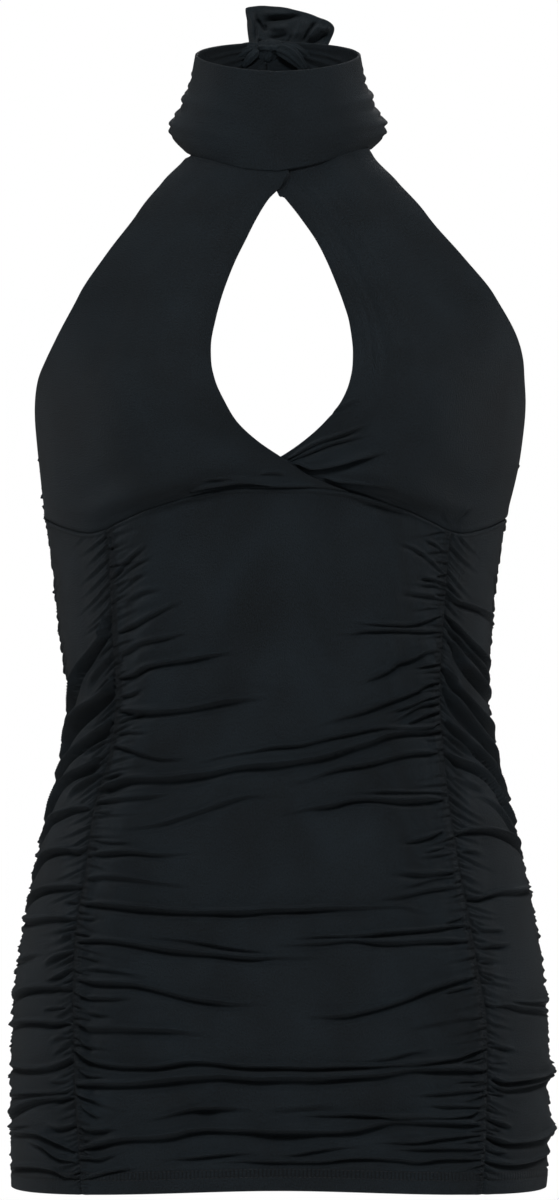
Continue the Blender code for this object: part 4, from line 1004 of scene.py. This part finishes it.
def coons(bottom, top, left, right, across, up):
    """The (turn, height) grid inside four rows of points, at the given shares across and up."""
    u = across[None, :, None]
    v = up[:, None, None]
    ruled_up = (1 - v) * bottom[None] + v * top[None]
    ruled_across = (1 - u) * left[:, None] + u * right[:, None]
    low = (1 - u) * bottom[0] + u * bottom[-1]
    high = (1 - u) * top[0] + u * top[-1]
    return np.moveaxis(ruled_up + ruled_across - (1 - v) * low - v * high, -1, 0)


def rows_between(left, right, across, bottom_height, top_height):
    """The lowest and the highest row of points (turn, height) between two side edges."""
    return [
        np.stack([turns, height_at(turns)], axis=1)
        for turns, height_at in (
            (stretch(left[0, 0], right[0, 0], across), bottom_height),
            (stretch(left[-1, 0], right[-1, 0], across), top_height),
        )
    ]


def crowded_shares(count):
    """Shares from 0 to 1 that lie closer together at both ends."""
    t = np.linspace(0, 1, count)
    return t - EDGE_CROWDING * np.sin(2 * np.pi * t) / (2 * np.pi)


def row_shares(rows, height):
    """Shares up a panel, closer together over the hem."""
    hem = HEM_ROWS_HEIGHT / height
    low = np.linspace(0, hem, HEM_ROWS, endpoint=False)
    return np.concatenate([low, np.linspace(hem, 1, rows - HEM_ROWS)])


def to_metres(points):
    return (points - np.array([0.0, 0.0, NECK_HOLD_HEIGHT])) * MM


def add_piece(name, points, faces, material, slot):
    mesh = bpy.data.meshes.new(name)
    mesh.from_pydata(to_metres(points).tolist(), [], faces)
    mesh.materials.append(material)
    mesh.shade_smooth()
    obj = bpy.data.objects.new(name, mesh)
    bpy.context.scene.collection.objects.link(obj)
    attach(obj, "root")
    return obj


def add_attribute(obj, name, kind, values):
    attribute = obj.data.attributes.new(name, kind, "POINT")
    field = "vector" if kind == "FLOAT_VECTOR" else "value"
    attribute.data.foreach_set(field, np.asarray(values, np.float32).ravel())


def run_lengths(points):
    """Millimetres across and up a grid of points, measured along the cloth from its middle."""
    across = np.stack([run_of(row) for row in points])
    up = np.stack([run_of(row) for row in np.moveaxis(points, 1, 0)], axis=1)
    middle = across[:, points.shape[1] // 2]
    return across - middle[:, None], up


def numbers(shape, first=0):
    return first + np.arange(np.prod(shape)).reshape(shape)


def ring_of(index):
    """The border of a grid of numbers, anticlockwise from its low left corner."""
    return np.concatenate([index[0, :-1], index[:-1, -1], index[-1, :0:-1], index[:0:-1, 0]])


def grid_faces(index):
    a, b = index[:-1, :-1].ravel(), index[:-1, 1:].ravel()
    c, d = index[1:, 1:].ravel(), index[1:, :-1].ravel()
    return np.stack([a, b, c, d], axis=1)


def make_cloth(name, outer, normals, wall, material, slot, **marks):
    """A closed shell on a grid of outer points, with rounded rims along its four edges.

    The grid has odd numbers of rows and columns, and the inside takes every other one.
    """
    index = numbers(outer.shape[:2])
    offset = outer - wall * normals
    inner = offset[::2, ::2]
    inner_index = numbers(inner.shape[:2], index.size)
    ring, inner_ring = ring_of(index), ring_of(inner_index)
    inward = np.concatenate([index[1, :-1], index[:-1, -2], index[-2, :0:-1], index[:0:-1, 1]])
    points = outer.reshape(-1, 3)
    puff = RIM_ROUNDNESS * wall * unit(points[ring] - points[inward])
    rim = (points[ring] + offset.reshape(-1, 3)[ring]) / 2 + puff
    edge = numbers(len(ring), index.size + inner_index.size)
    after, edge_after, edge_two_on = np.roll(ring, -1), np.roll(edge, -1), np.roll(edge, -2)
    inner_rim = [edge_two_on[::2], edge_after[::2], edge[::2], inner_ring, np.roll(inner_ring, -1)]
    faces = grid_faces(index).tolist() + grid_faces(inner_index)[:, ::-1].tolist()
    faces += np.stack([after, ring, edge, edge_after], axis=1).tolist()
    faces += np.stack(inner_rim, axis=1).tolist()
    points = np.concatenate([points, inner.reshape(-1, 3), rim])
    obj = add_piece(name, points, faces, material, slot)

    def add_mark(mark, kind, values):
        size = values.shape[2:]
        flat = values.reshape(-1, *size)
        parts = [flat, values[::2, ::2].reshape(-1, *size), flat[ring]]
        add_attribute(obj, mark, kind, np.concatenate(parts))

    across, up = run_lengths(outer)
    add_mark("cloth_mm", "FLOAT_VECTOR", np.stack([across, up, across * 0], axis=-1))
    for mark, values in marks.items():
        add_mark(mark, "FLOAT", values)
    return obj


def panel_edge(seam, inward, top_height, up):
    """One seam edge of a panel, set in by half the seam's gap."""
    seam_turn = SEAM_TURNS[seam]
    inset = inward * SEAM_GAP / 2 / girth_per_degree(seam_turn(0.0), 0.0)
    low = hem_height(seam_turn(0.0) + inset)
    high = top_height(seam_turn(UNDERARM_HEIGHT) + inset) - SEAM_GAP / 2
    heights = stretch(low, high, up)
    return np.stack([seam_turn(heights) + inset, heights], axis=1)


def make_panel(panel, material):
    columns, rows = panel.grid
    across = crowded_shares(columns)
    up = row_shares(rows, panel.top_height(panel.middle_turn))
    left = panel_edge(panel.left_seam, 1, panel.top_height, up)
    right = panel_edge(panel.right_seam, -1, panel.top_height, up)
    if right[0, 0] < left[0, 0]:
        right[:, 0] += 360
    bottom, top = rows_between(
        left, right, across, hem_height, lambda turn: panel.top_height(turn) - SEAM_GAP / 2
    )
    turn, height = coons(bottom, top, left, right, across, up)
    normals = body_normal(turn, height)
    outer = body_point(turn, height) + panel_relief(panel, turn, height)[..., None] * normals
    seams = (panel.left_seam, panel.right_seam)
    nearest = np.minimum(*(seam_distance(turn, height, seam) for seam in seams))
    if panel.name == "front_panel":
        ladder = ramp(*ALLOWANCE, nearest)
    else:
        ladder = SIDE_LADDER * bump(nearest / SIDE_LADDER_REACH)
    hem = ramp(*HEM_BAND, np.abs(height - hem_height(turn) - HEM_DEPTH))
    # the seam and hem marks place the material's puckers and stitch ticks, as bumps and as painted
    # shade
    obj = make_cloth(
        panel.name + "_cloth", outer, normals, SHELL, material, "jersey", seam=ladder, hem=hem
    )
    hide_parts(panel.name)
    return obj


def along_edge(table, count):
    """Points (turn, height) evenly spaced along a free edge."""
    points = np.array(table, float)
    return evenly(points, run_of(body_point(*points.T)), count)


def cup_relief(turn, height, folds, is_under):
    seed = UNDER_CUP_SEED if is_under else UPPER_CUP_SEED
    relief = folds_relief(turn, height, folds, seed)
    up = height - under_bust_height(turn)
    relief *= rise_from(*CUP_FOLD_START, up)
    relief += CUP_EDGE_PUFF * bump((up - CUP_EDGE_PUFF_UP) / CUP_EDGE_REACH)
    relief -= CUP_EDGE_DIP * bump(up / CUP_EDGE_DIP_REACH)
    relief += mound(OVERHANG, turn, up) * ramp(*OVERHANG_START, up)
    swell = swells(turn / CUP_SWELL_TURNS, height / CUP_SWELL_UP, CUP_SWELL_SEED)
    relief += CUP_SWELL * swell * ramp(*CUP_SWELL_START, up)
    relief -= TUCK_DEPTH * ramp(*TUCK_HEIGHTS, height - band_bottom(turn))
    if is_under:
        relief -= UNDER_LAYER_STEP * ramp(*UNDER_LAYER_TURNS, turn)
    return relief


def make_cup(name, outer_edge, inner_edge, folds, is_under, material):
    columns, rows = CUP_GRID
    edges = [along_edge(edge, rows) for edge in (outer_edge, inner_edge)]
    left, right = sorted(edges, key=lambda edge: edge[0, 0])
    across, up = np.linspace(0, 1, columns), np.linspace(0, 1, rows)
    bottom, top = rows_between(
        left, right, across,
        lambda turn: under_bust_height(turn) + SEAM_GAP / 2,
        lambda turn: band_bottom(turn) + CUP_TUCK,
    )
    left[0], right[0], left[-1], right[-1] = bottom[0], bottom[-1], top[0], top[-1]
    turn, height = coons(bottom, top, left, right, across, up)
    if is_under:
        from_nub = np.hypot((turn - NUB[0]) * MM_PER_TURN / 2, height - NUB[1])
        height = height - NUB_DROP * bump(from_nub / NUB_REACH)
        tucked = UNDER_EDGE_DROP * bump((turn - UNDER_EDGE_TURN) / UNDER_EDGE_SPREAD)
        height = height - tucked * ramp(UNDER_EDGE_REACH, 0, height - under_bust_height(turn))
    normals = body_normal(turn, height)
    relief = cup_relief(turn, height, folds, is_under)
    outer = body_point(turn, height) + relief[..., None] * normals
    obj = make_cloth(name + "_cloth", outer, normals, SHELL, material, "jersey")
    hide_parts(name)
    return obj


# ---------------------------------------------------------------- neck band


def band_bottom(turn):
    tilt = BAND_BOTTOM_TILT * sine(2 * np.clip(turn, -90, 90))
    return BAND_EDGES.curve("bottom", np.abs(turn)) + tilt


def band_relief(turn, level):
    relief = np.zeros_like(level)
    from_front = ramp(*BAND_SMOOTH_TURNS, np.abs(turn))
    for crease in BAND_SLOUCH:
        wave = BAND_SLOUCH_WAVES * np.radians(turn) + BAND_SLOUCH_PHASE * crease.level
        line = crease.level + BAND_SLOUCH_WAVER * np.sin(wave)
        profile = pleat((level - line) / crease.spread, *BAND_SLOUCH_PROFILE)
        along = (turn - crease.deepest_turn) / crease.half_length
        relief += BAND_SLOUCH_DEPTH * crease.depth * profile * bump(along) * from_front
    for fold in NAPE_FOLDS:
        side = turn * fold.side
        closing = NAPE_CLOSING_SHARE * ramp(*NAPE_CLOSING_TURNS, side)
        line = stretch(fold.level, NAPE_CLOSING_LEVEL, closing)
        line = line + NAPE_WAVER * np.sin(side / NAPE_WAVER_TURNS + NAPE_WAVER_PHASE * fold.level)
        profile = pleat((level - line) / fold.spread, *NAPE_PROFILE)
        relief += fold.depth * profile * ramp(*NAPE_FOLD_TURNS, side)
    return relief


def make_neck_band(material):
    columns, rows = BAND_GRID
    share, level = np.meshgrid(np.linspace(0, 1, columns), np.linspace(0, 1, rows))
    closing = BAND_CLOSING_TURN * ramp(*BAND_CLOSING_LEVELS, level)
    turn = stretch(BAND_START_TURN - closing, BAND_END_TURN + closing, share)
    sizes = BAND_SECTIONS.curves(level)
    radius = superellipse(turn, *sizes, NECK_ROUNDNESS) + band_relief(turn, level)
    z = stretch(band_bottom(turn), BAND_EDGES.curve("top", np.abs(turn)), level)
    outer = np.stack([radius * sine(turn) + BAND_LEAN, -radius * cosine(turn), z], axis=-1)
    outward = np.stack([sine(turn), -cosine(turn), np.zeros_like(turn)], axis=-1)
    obj = make_cloth("neck_band_cloth", outer, outward, BAND_SHELL, material, "band_jersey")
    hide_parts("collar_band")
    return obj


# ---------------------------------------------------------------- knot and ties


def round_angles(count):
    return np.linspace(0, 2 * np.pi, count, endpoint=False)


def rounded_tube(rings):
    """Points and faces of a closed surface round a stack of rings of equally many points."""
    index = numbers(rings.shape[:2])
    first, last = index.size, index.size + 1
    index = np.concatenate([index, index[:, :1]], axis=1)
    faces = grid_faces(index).tolist()
    faces += [(first, b, a) for a, b in zip(index[0, :-1].tolist(), index[0, 1:].tolist())]
    faces += [(last, a, b) for a, b in zip(index[-1, :-1].tolist(), index[-1, 1:].tolist())]
    poles = [rings[0].mean(axis=0), rings[-1].mean(axis=0)]
    return np.concatenate([rings.reshape(-1, 3), poles]), faces


def knot_body():
    """The knot's body: a gathered neck, a wrap round it and a pleated bulge below."""
    columns, rows = KNOT_GRID
    rises = KNOT_SECTIONS.column("rise")
    rise = np.linspace(rises[0], rises[-1], rows)[:, None]
    shift, half_width, half_depth = KNOT_SECTIONS.curves(rise)
    angle = round_angles(columns)[None]
    neck, bulge = ramp(*KNOT_NECK, rise), ramp(*KNOT_BULGE, rise)
    wrap = (1 - neck) * (1 - bulge)
    pleats = sum(
        row.depth * share * np.cos(
            row.count * angle + row.sway * np.sin(row.sway_count * angle) + row.climb * rise
        )
        for row, share in zip(KNOT_PLEATS, (neck, bulge, wrap))
    )
    x = KNOT_CENTRE[0] + shift + half_width * (1 + pleats) * np.cos(angle)
    y = KNOT_CENTRE[1] + half_depth * (1 + pleats) * np.sin(angle)
    tilt = KNOT_TILT * half_width * np.cos(angle) * wrap
    return rounded_tube(np.stack([x, y, KNOT_CENTRE[2] + rise + tilt], axis=-1))


def knot_loop(row):
    """A bent, flattened roll of cloth with lengthwise ridges."""
    columns, rows = LOOP_GRID
    a, b, c = np.array([row.start, row.middle, row.end]) + KNOT_CENTRE
    bend = 2 * b - (a + c) / 2
    t = np.linspace(0, 1, rows)[:, None]
    spine = (1 - t) ** 2 * a + 2 * t * (1 - t) * bend + t * t * c
    course = unit(2 * (1 - t) * (bend - a) + 2 * t * (c - bend))
    sideways = unit(np.cross(course, [0.0, 1.0, 0.0]))
    forward = np.cross(sideways, course)
    around = stretch(LOOP_END, 1 - LOOP_END, t**row.skew)
    size = np.sqrt(np.sin(np.pi * around))[:, None]
    angle = round_angles(columns)[None, :, None]
    ridges = 1 + LOOP_RIDGE * np.cos(row.ridges * angle + LOOP_RIDGE_TWIST * t[:, None])
    rings = spine[:, None] + size * ridges * (
        row.half_width * np.cos(angle) * sideways[:, None]
        + row.half_depth * np.sin(angle) * forward[:, None]
    )
    return rounded_tube(rings)


def make_knot(material):
    points, faces, count = [], [], 0
    for part_points, part_faces in [knot_body(), *(knot_loop(row) for row in KNOT_LOOPS)]:
        points.append(part_points)
        faces += [tuple(index + count for index in face) for face in part_faces]
        count += len(part_points)
    points = np.concatenate(points)
    obj = add_piece("knot_cloth", points, faces, material, "band_jersey")
    add_attribute(obj, "cloth_mm", "FLOAT_VECTOR", points - KNOT_CENTRE)
    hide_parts("tie_knot")
    return obj


def fan_relief(right, up):
    places = np.stack([right.ravel(), up.ravel()], axis=-1)
    relief = np.zeros(len(places))
    for crease in FAN_CREASES:
        along, beyond, above, length = measured_from(places, crease.line)
        from_end = np.minimum(along, length - along)
        profile = bump(above / crease.spread) * bump(beyond / crease.spread)
        share = ramp(0, FAN_CREASE_END_SHARE * length, from_end)
        relief -= FAN_CREASE_DEPTH * crease.depth * profile * share
    return relief.reshape(right.shape)


def make_standing_tie(material):
    columns, rows = FAN_GRID
    angles = FAN_OUTLINE.column("angle")
    sweep = np.linspace(angles[-1], angles[0], columns)
    angle, share = np.meshgrid(sweep, np.linspace(0, 1, rows))
    radius = stretch(FAN_ROOT, FAN_OUTLINE.curve("reach", angle), share)
    push = sum(row.push * bump((angle - row.angle) / row.spread) for row in FAN_PLEATS)
    right, up = radius * cosine(angle), radius * sine(angle)
    y = FAN_CENTRE[1] + FAN_LEAN_BACK * share - push * share - fan_relief(right, up)
    front = np.stack([FAN_CENTRE[0] + right, y, FAN_CENTRE[2] + up], axis=-1)
    forward = np.zeros_like(front) + [0.0, -1.0, 0.0]
    obj = make_cloth("upper_tie_cloth", front, forward, BAND_SHELL, material, "band_jersey")
    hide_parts("tie_end_upper")
    return obj


def make_hanging_tie(material):
    columns, rows = HANGING_TIE_GRID
    across, down = np.meshgrid(np.linspace(1, -1, columns), np.linspace(1, 0, rows))
    widening = ramp(0, HANGING_TIE_WIDENS_BY, down)
    width = stretch(HANGING_TIE_TOP_WIDTH, HANGING_TIE_WIDTH, widening)
    x = KNOT_CENTRE[0] + across * width / 2
    top = KNOT_CENTRE[2] + HANGING_TIE_TOP
    z = top - down * (HANGING_TIE_LENGTH + HANGING_TIE_SLANT * across)
    wave = np.cos(np.pi * HANGING_TIE_FOLDS * across) * ramp(0, HANGING_TIE_FOLDS_BY, down)
    pleats = HANGING_TIE_PLEAT * np.sin(HANGING_TIE_PLEAT_RATE * across + HANGING_TIE_PLEAT_SHIFT)
    pleats *= ramp(*HANGING_TIE_PLEAT_SHARES, down)
    bow = HANGING_TIE_BOW * sine(HANGING_TIE_BOW_TURN * down)
    y = KNOT_CENTRE[1] + HANGING_TIE_BEHIND + bow + HANGING_TIE_FOLD * wave + pleats
    back = np.stack([x, y, z], axis=-1)
    outward = np.zeros_like(back) + [0.0, 1.0, 0.0]
    obj = make_cloth("lower_tie_cloth", back, outward, BAND_SHELL, material, "band_jersey")
    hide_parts("tie_end_lower")
    return obj


# ---------------------------------------------------------------- stitches


def stitch_row(panel, above_hem):
    """The rings' middles of a row of stitches on a panel, each with the way out of the cloth."""
    start = SEAM_TURNS[panel.left_seam](above_hem)
    end = SEAM_TURNS[panel.right_seam](above_hem)
    if end < start:
        end += 360
    turns = np.linspace(start, end, STITCH_ROW_STEPS)
    run = run_of(body_point(turns, hem_height(turns) + above_hem))
    at = np.arange(STITCH_PITCH / 2, run[-1] - STITCH_LENGTH, STITCH_PITCH)
    places = []
    for point in STITCH_POINTS:
        turn = np.interp(at + point.share * STITCH_LENGTH, run, turns)
        height = hem_height(turn) + above_hem
        normal = body_normal(turn, height)
        lift = panel_relief(panel, turn, height) + point.lift
        places.append((body_point(turn, height) + lift[:, None] * normal, normal))
    return places


def make_stitches(panel, material):
    """Two rows of thread along a panel's hem, as one mesh of short tubes."""
    points, faces, count = [], [], 0
    angles = round_angles(STITCH_SIDES)[:, None, None]
    for row in NEEDLE_ROWS:
        places = stitch_row(panel, row)
        along = unit(places[2][0] - places[0][0])
        rings = [
            centre + STITCH_RADIUS * point.size
            * (np.cos(angles) * np.cross(along, normal) + np.sin(angles) * normal)
            for (centre, normal), point in zip(places, STITCH_POINTS)
        ]
        tubes = np.moveaxis(np.stack(rings), 2, 0)
        ids = numbers(tubes.shape[:3], count)
        count += ids.size
        points.append(tubes.reshape(-1, 3))
        for low in (0, 1):
            a, b = ids[:, low], ids[:, low + 1]
            sides = np.stack([a, np.roll(a, -1, axis=1), np.roll(b, -1, axis=1), b], axis=-1)
            faces += sides.reshape(-1, 4).tolist()
        faces += ids[:, 0, ::-1].tolist() + ids[:, 2].tolist()
    return add_piece(panel.name + "_stitches", np.concatenate(points), faces, material, "jersey")


# ---------------------------------------------------------------- materials


class Graph:
    """Short forms for building a material's nodes."""

    def __init__(self, name):
        self.material = bpy.data.materials.new(name)
        self.material.use_nodes = True
        self.tree = self.material.node_tree
        self.shader = self.tree.nodes["Principled BSDF"]

    def node(self, kind, **values):
        """A new node; values are its own settings or, by name, its inputs'."""
        made = self.tree.nodes.new(kind)
        for key, value in values.items():
            if hasattr(made, key):
                setattr(made, key, value)
            else:
                made.inputs[key.replace("_", " ")].default_value = value
        return made

    def look(self, **values):
        for key, value in values.items():
            self.shader.inputs[key.replace("_", " ")].default_value = value

    def link(self, start, end):
        self.tree.links.new(start, end)

    def attribute(self, name, output="Fac"):
        return self.node("ShaderNodeAttribute", attribute_name=name).outputs[output]

    def math(self, operation, first, second):
        made = self.node("ShaderNodeMath", operation=operation)
        for socket, value in zip(made.inputs, (first, second)):
            if isinstance(value, (int, float)):
                socket.default_value = value
            else:
                self.link(value, socket)
        return made.outputs[0]

    def plus(self, value, other, share=1.0):
        return self.math("ADD", value, self.times(other, share))

    def minus(self, value, other, share=1.0):
        return self.math("SUBTRACT", value, self.times(other, share))

    def times(self, value, factor):
        return value if factor == 1.0 else self.math("MULTIPLY", value, factor)

    def noise(self, vector, scale, detail, roughness=0.5):
        made = self.node("ShaderNodeTexNoise", Scale=scale, Detail=detail, Roughness=roughness)
        self.link(vector, made.inputs["Vector"])
        return made.outputs["Fac"]

    def wave(self, value, pitch):
        return self.math("SINE", self.times(value, 2 * np.pi / pitch), 0.0)

    def positive(self, value):
        return self.math("MAXIMUM", value, 0.0)

    def tint(self, value, base, shares, places=(0.0, 1.0)):
        """A colour between two shades of base, as value goes from one place to the other."""
        made = self.node("ShaderNodeValToRGB")
        for element, share, place in zip(made.color_ramp.elements, shares, places):
            element.position = place
            element.color = (*(share * c for c in base), 1.0)
        self.link(value, made.inputs[0])
        return made.outputs[0]


JERSEY_BASE = (0.0071, 0.0118, 0.0158)
TIE_BASE_PAINTED_LIGHTER = (0.0100, 0.0160, 0.0208)  # painted light: a paler copy of the jersey's colour for the tied ends, which lie open to the light
THREAD_BASE = (0.012, 0.013, 0.0145)
THREAD_TINT = (0.8, 1.5)
THREAD_SPECKS = 3000.0
JERSEY_ROUGHNESS = 0.60
FIBRE_ROUGHNESS = 0.16
WALE_PITCH = 0.72  # mm from one column of stitches of the knit to the next
COURSE_PITCH = 0.55
WALE_SHARE = 0.3
COURSE_SHARE = 0.15
LADDER_PITCH = 2.3  # mm between the tiny puckers across a ruched seam
LADDER_WAVER = 1.6
TICK_PITCH = 2.4  # mm between the stitches' ticks across the hem
# painted shade: the colour is this much darker on the hem's stitch ticks, for the shade in the
# stitch holes
TICK_PAINTED_SHADE = 0.7
# painted shade: the colour is this much darker on the seams' puckers, for the shade between them
LADDER_PAINTED_SHADE = 0.3
KNIT_DEPTH = 0.00009  # metres; the depths below are in multiples of it
LADDER_DEPTH = 8.0
TICK_DEPTH = 5.0
FIBRE_DEPTH = 20.0
BUMP_STRENGTH = 0.7
# The dye is uneven in patches and from fibre to fibre.
PATCH_SHARE = 0.3
FIBRE_SHARE = 0.7
JERSEY_TINT = (0.34, 1.72)  # the darkest and the lightest shade, as shares of the base
JERSEY_TINT_PLACES = (0.37, 0.63)
PATCHES = (0.02, 3.0)  # a noise has its scale for each mm and its detail
FIBRES = (1.1, 3.0, 0.65)
LADDER_NOISE = (0.4, 2.0)
FIBRE_STRETCH = (1.0, 0.8, 1.0)


def make_jersey(name, base):
    graph = Graph(name)
    place = graph.attribute("cloth_mm", "Vector")
    parts = graph.node("ShaderNodeSeparateXYZ")
    graph.link(place, parts.inputs[0])
    across, up = parts.outputs[0], parts.outputs[1]

    # the knit and its fibres
    stretched = graph.node("ShaderNodeVectorMath", operation="MULTIPLY")
    stretched.inputs[1].default_value = FIBRE_STRETCH
    graph.link(place, stretched.inputs[0])
    patches = graph.noise(place, *PATCHES)
    fibres = graph.noise(stretched.outputs["Vector"], *FIBRES)
    wales = graph.times(graph.wave(across, WALE_PITCH), WALE_SHARE)
    knit = graph.plus(wales, graph.wave(up, COURSE_PITCH), COURSE_SHARE)

    # small puckers across the ruched seams, and the stitches' ticks across the hem: bumps, and
    # painted shade in the colour
    waver = graph.plus(up, graph.noise(place, *LADDER_NOISE), LADDER_WAVER)
    ladder = graph.times(graph.wave(waver, LADDER_PITCH), graph.attribute("seam"))
    ticks = graph.positive(graph.wave(across, TICK_PITCH))
    ticks = graph.times(ticks, graph.attribute("hem"))

    blend = graph.plus(graph.times(patches, PATCH_SHARE), fibres, FIBRE_SHARE)
    tint = graph.tint(blend, base, JERSEY_TINT, JERSEY_TINT_PLACES)
    # painted shade: the colour darkens on the hem's stitch ticks and on the seams' puckers
    shade = graph.minus(1.0, ticks, TICK_PAINTED_SHADE)
    shade = graph.minus(shade, graph.positive(ladder), LADDER_PAINTED_SHADE)
    colour = graph.node("ShaderNodeVectorMath", operation="SCALE")
    graph.link(tint, colour.inputs[0])
    graph.link(shade, colour.inputs["Scale"])
    graph.link(colour.outputs["Vector"], graph.shader.inputs["Base Color"])
    rough = graph.plus(JERSEY_ROUGHNESS, fibres, FIBRE_ROUGHNESS)
    graph.link(rough, graph.shader.inputs["Roughness"])
    graph.look(
        Specular_IOR_Level=0.22,
        Sheen_Weight=0.08,
        Sheen_Roughness=0.45,
        Sheen_Tint=(0.62, 0.68, 0.74, 1.0),
    )

    relief = graph.plus(knit, ladder, LADDER_DEPTH)
    relief = graph.plus(relief, fibres, FIBRE_DEPTH)
    relief = graph.minus(relief, ticks, TICK_DEPTH)
    bumps = graph.node("ShaderNodeBump", Strength=BUMP_STRENGTH, Distance=KNIT_DEPTH)
    graph.link(relief, bumps.inputs["Height"])
    graph.link(bumps.outputs[0], graph.shader.inputs["Normal"])
    return graph.material


def make_thread():
    graph = Graph("sewing_thread")
    place = graph.node("ShaderNodeNewGeometry").outputs["Position"]
    specks = graph.noise(place, THREAD_SPECKS, 1.0)
    tint = graph.tint(specks, THREAD_BASE, THREAD_TINT)
    graph.link(tint, graph.shader.inputs["Base Color"])
    graph.look(Roughness=0.5, Specular_IOR_Level=0.35)
    return graph.material


# ---------------------------------------------------------------- stage

CAMERA_DISTANCE = 3.5
CAMERA_HEIGHT = -0.299
CAMERA_ACROSS = -0.0003
FRAME_HEIGHT = 0.7332  # metres seen from top to bottom at the origin
SENSOR = 36.0
FLOOR_HEIGHT = -1.45
FLOOR_RADIUS = 6.0

LIGHTS = Table(
    "name place target size watts",
    ("key_light", (0.0, -2.9, 1.45), (0.0, 0.0, -0.32), (1.2, 0.8), 50.0),
    ("front_left_light", (-2.7, -1.7, 0.0), (0.0, 0.0, -0.3), (0.9, 1.6), 10.5),
    ("front_right_light", (2.7, -1.7, 0.1), (0.0, 0.0, -0.3), (0.9, 1.6), 11.5),
    ("top_light", (0.0, 0.1, 2.4), (0.0, 0.0, 0.0), (1.0, 0.8), 8.0),
    ("left_light", (-2.5, 1.9, -0.2), (0.0, 0.0, -0.3), (0.9, 1.2), 6.5),
    ("right_light", (2.5, 1.9, -0.1), (0.0, 0.0, -0.3), (0.9, 1.2), 6.0),
    ("back_light", (0.4, 2.8, 1.2), (0.0, 0.0, -0.3), (2.0, 1.2), 12.0),
)
WORLD_LIGHT = 0.06
WHITE = (1.0, 1.0, 1.0, 1.0)


def make_stage():
    bpy.ops.mesh.primitive_circle_add(vertices=96, radius=FLOOR_RADIUS, fill_type="NGON")
    floor = bpy.context.object
    floor.name = "floor"
    floor.location = (0.0, 0.0, FLOOR_HEIGHT)
    graph = Graph("pale_floor")
    graph.look(Base_Color=(0.82, 0.82, 0.82, 1.0), Roughness=0.9)
    floor.data.materials.append(graph.material)
    floor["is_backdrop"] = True


def make_lights():
    for row in LIGHTS:
        data = bpy.data.lights.new(row.name, "AREA")
        data.shape = "RECTANGLE"
        data.size, data.size_y = row.size
        data.energy = row.watts
        light = bpy.data.objects.new(row.name, data)
        bpy.context.scene.collection.objects.link(light)
        light.location = row.place
        aim = Vector(row.target) - Vector(row.place)
        light.rotation_euler = aim.to_track_quat("-Z", "Y").to_euler()


def make_world():
    """A white studio: its background is white, and it lights the cloth softly."""
    world = bpy.data.worlds.new("studio")
    bpy.context.scene.world = world
    world.use_nodes = True
    tree = world.node_tree
    lighting = tree.nodes["Background"]
    lighting.inputs["Color"].default_value = WHITE
    lighting.inputs["Strength"].default_value = WORLD_LIGHT
    backdrop = tree.nodes.new("ShaderNodeBackground")
    backdrop.inputs["Color"].default_value = WHITE
    path = tree.nodes.new("ShaderNodeLightPath")
    mix = tree.nodes.new("ShaderNodeMixShader")
    tree.links.new(path.outputs["Is Camera Ray"], mix.inputs[0])
    tree.links.new(lighting.outputs[0], mix.inputs[1])
    tree.links.new(backdrop.outputs[0], mix.inputs[2])
    tree.links.new(mix.outputs[0], tree.nodes["World Output"].inputs["Surface"])


def make_camera():
    data = bpy.data.cameras.new("camera")
    data.sensor_width = SENSOR
    data.lens = SENSOR * CAMERA_DISTANCE / FRAME_HEIGHT
    camera = bpy.data.objects.new("camera", data)
    bpy.context.scene.collection.objects.link(camera)
    camera.location = (CAMERA_ACROSS, -CAMERA_DISTANCE, CAMERA_HEIGHT)
    camera.rotation_euler = (np.pi / 2, 0.0, 0.0)
    bpy.context.scene.camera = camera


# Each piece's cut laid flat, before gathering: width and length in metres, area in square metres.
SHEETS = Table(
    "name width length area held rests_on",
    ("front_panel", 0.27, 0.52, 0.130, "gathered", ("cup_left", "cup_right")),
    ("side_front_left", 0.105, 0.53, 0.0465, "gathered", ("cup_left",)),
    ("side_front_right", 0.105, 0.53, 0.0480, "gathered", ("cup_right",)),
    ("back_panel", 0.46, 0.56, 0.235, "gathered", ("side_front_left", "side_front_right")),
    ("cup_left", 0.20, 0.25, 0.0305, "stretched", ("collar_band",)),
    ("cup_right", 0.20, 0.25, 0.0315, "stretched", ("collar_band",)),
    ("collar_band", 0.38, 0.075, 0.0240, "folded", ("tie_knot",)),
    ("tie_end_upper", 0.05, 0.06, 0.0022, "gathered", ("tie_knot",)),
    ("tie_end_lower", 0.05, 0.08, 0.0030, "hung", ("tie_knot",)),
)


def main():
    bpy.context.scene.view_settings.view_transform = "Standard"
    make_camera()
    make_world()
    make_lights()
    make_stage()
    jersey = make_jersey("black_jersey", JERSEY_BASE)
    band_jersey = make_jersey("black_band_jersey", JERSEY_BASE)
    # a paler copy of the same jersey, which paints in the light that the tied ends catch
    tie_jersey_painted_lighter = make_jersey("black_jersey_painted_lighter", TIE_BASE_PAINTED_LIGHTER)
    thread = make_thread()
    pieces = {panel.name: make_panel(panel, jersey) for panel in PANELS}
    pieces["cup_left"] = make_cup(
        "cup_left", LEFT_CUP_OUTER, LEFT_CUP_INNER, LEFT_CUP_FOLDS, False, jersey
    )
    pieces["cup_right"] = make_cup(
        "cup_right", RIGHT_CUP_OUTER, RIGHT_CUP_INNER, RIGHT_CUP_FOLDS, True, jersey
    )
    pieces["collar_band"] = make_neck_band(band_jersey)
    pieces["tie_knot"] = make_knot(tie_jersey_painted_lighter)
    pieces["tie_end_upper"] = make_standing_tie(tie_jersey_painted_lighter)
    pieces["tie_end_lower"] = make_hanging_tie(band_jersey)
    stitches = {panel.name: [make_stitches(panel, thread)] for panel in PANELS}
    for cut in SHEETS:
        pieces[cut.name]
        cut.width
        cut.length
        cut.area
        cut.held
        [pieces[other] for other in cut.rests_on]
        stitches.get(cut.name, [])


main()

({
    "cad": [list(corner) for corner in cad_box],
    "visual": [list(corner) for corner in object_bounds()],
})
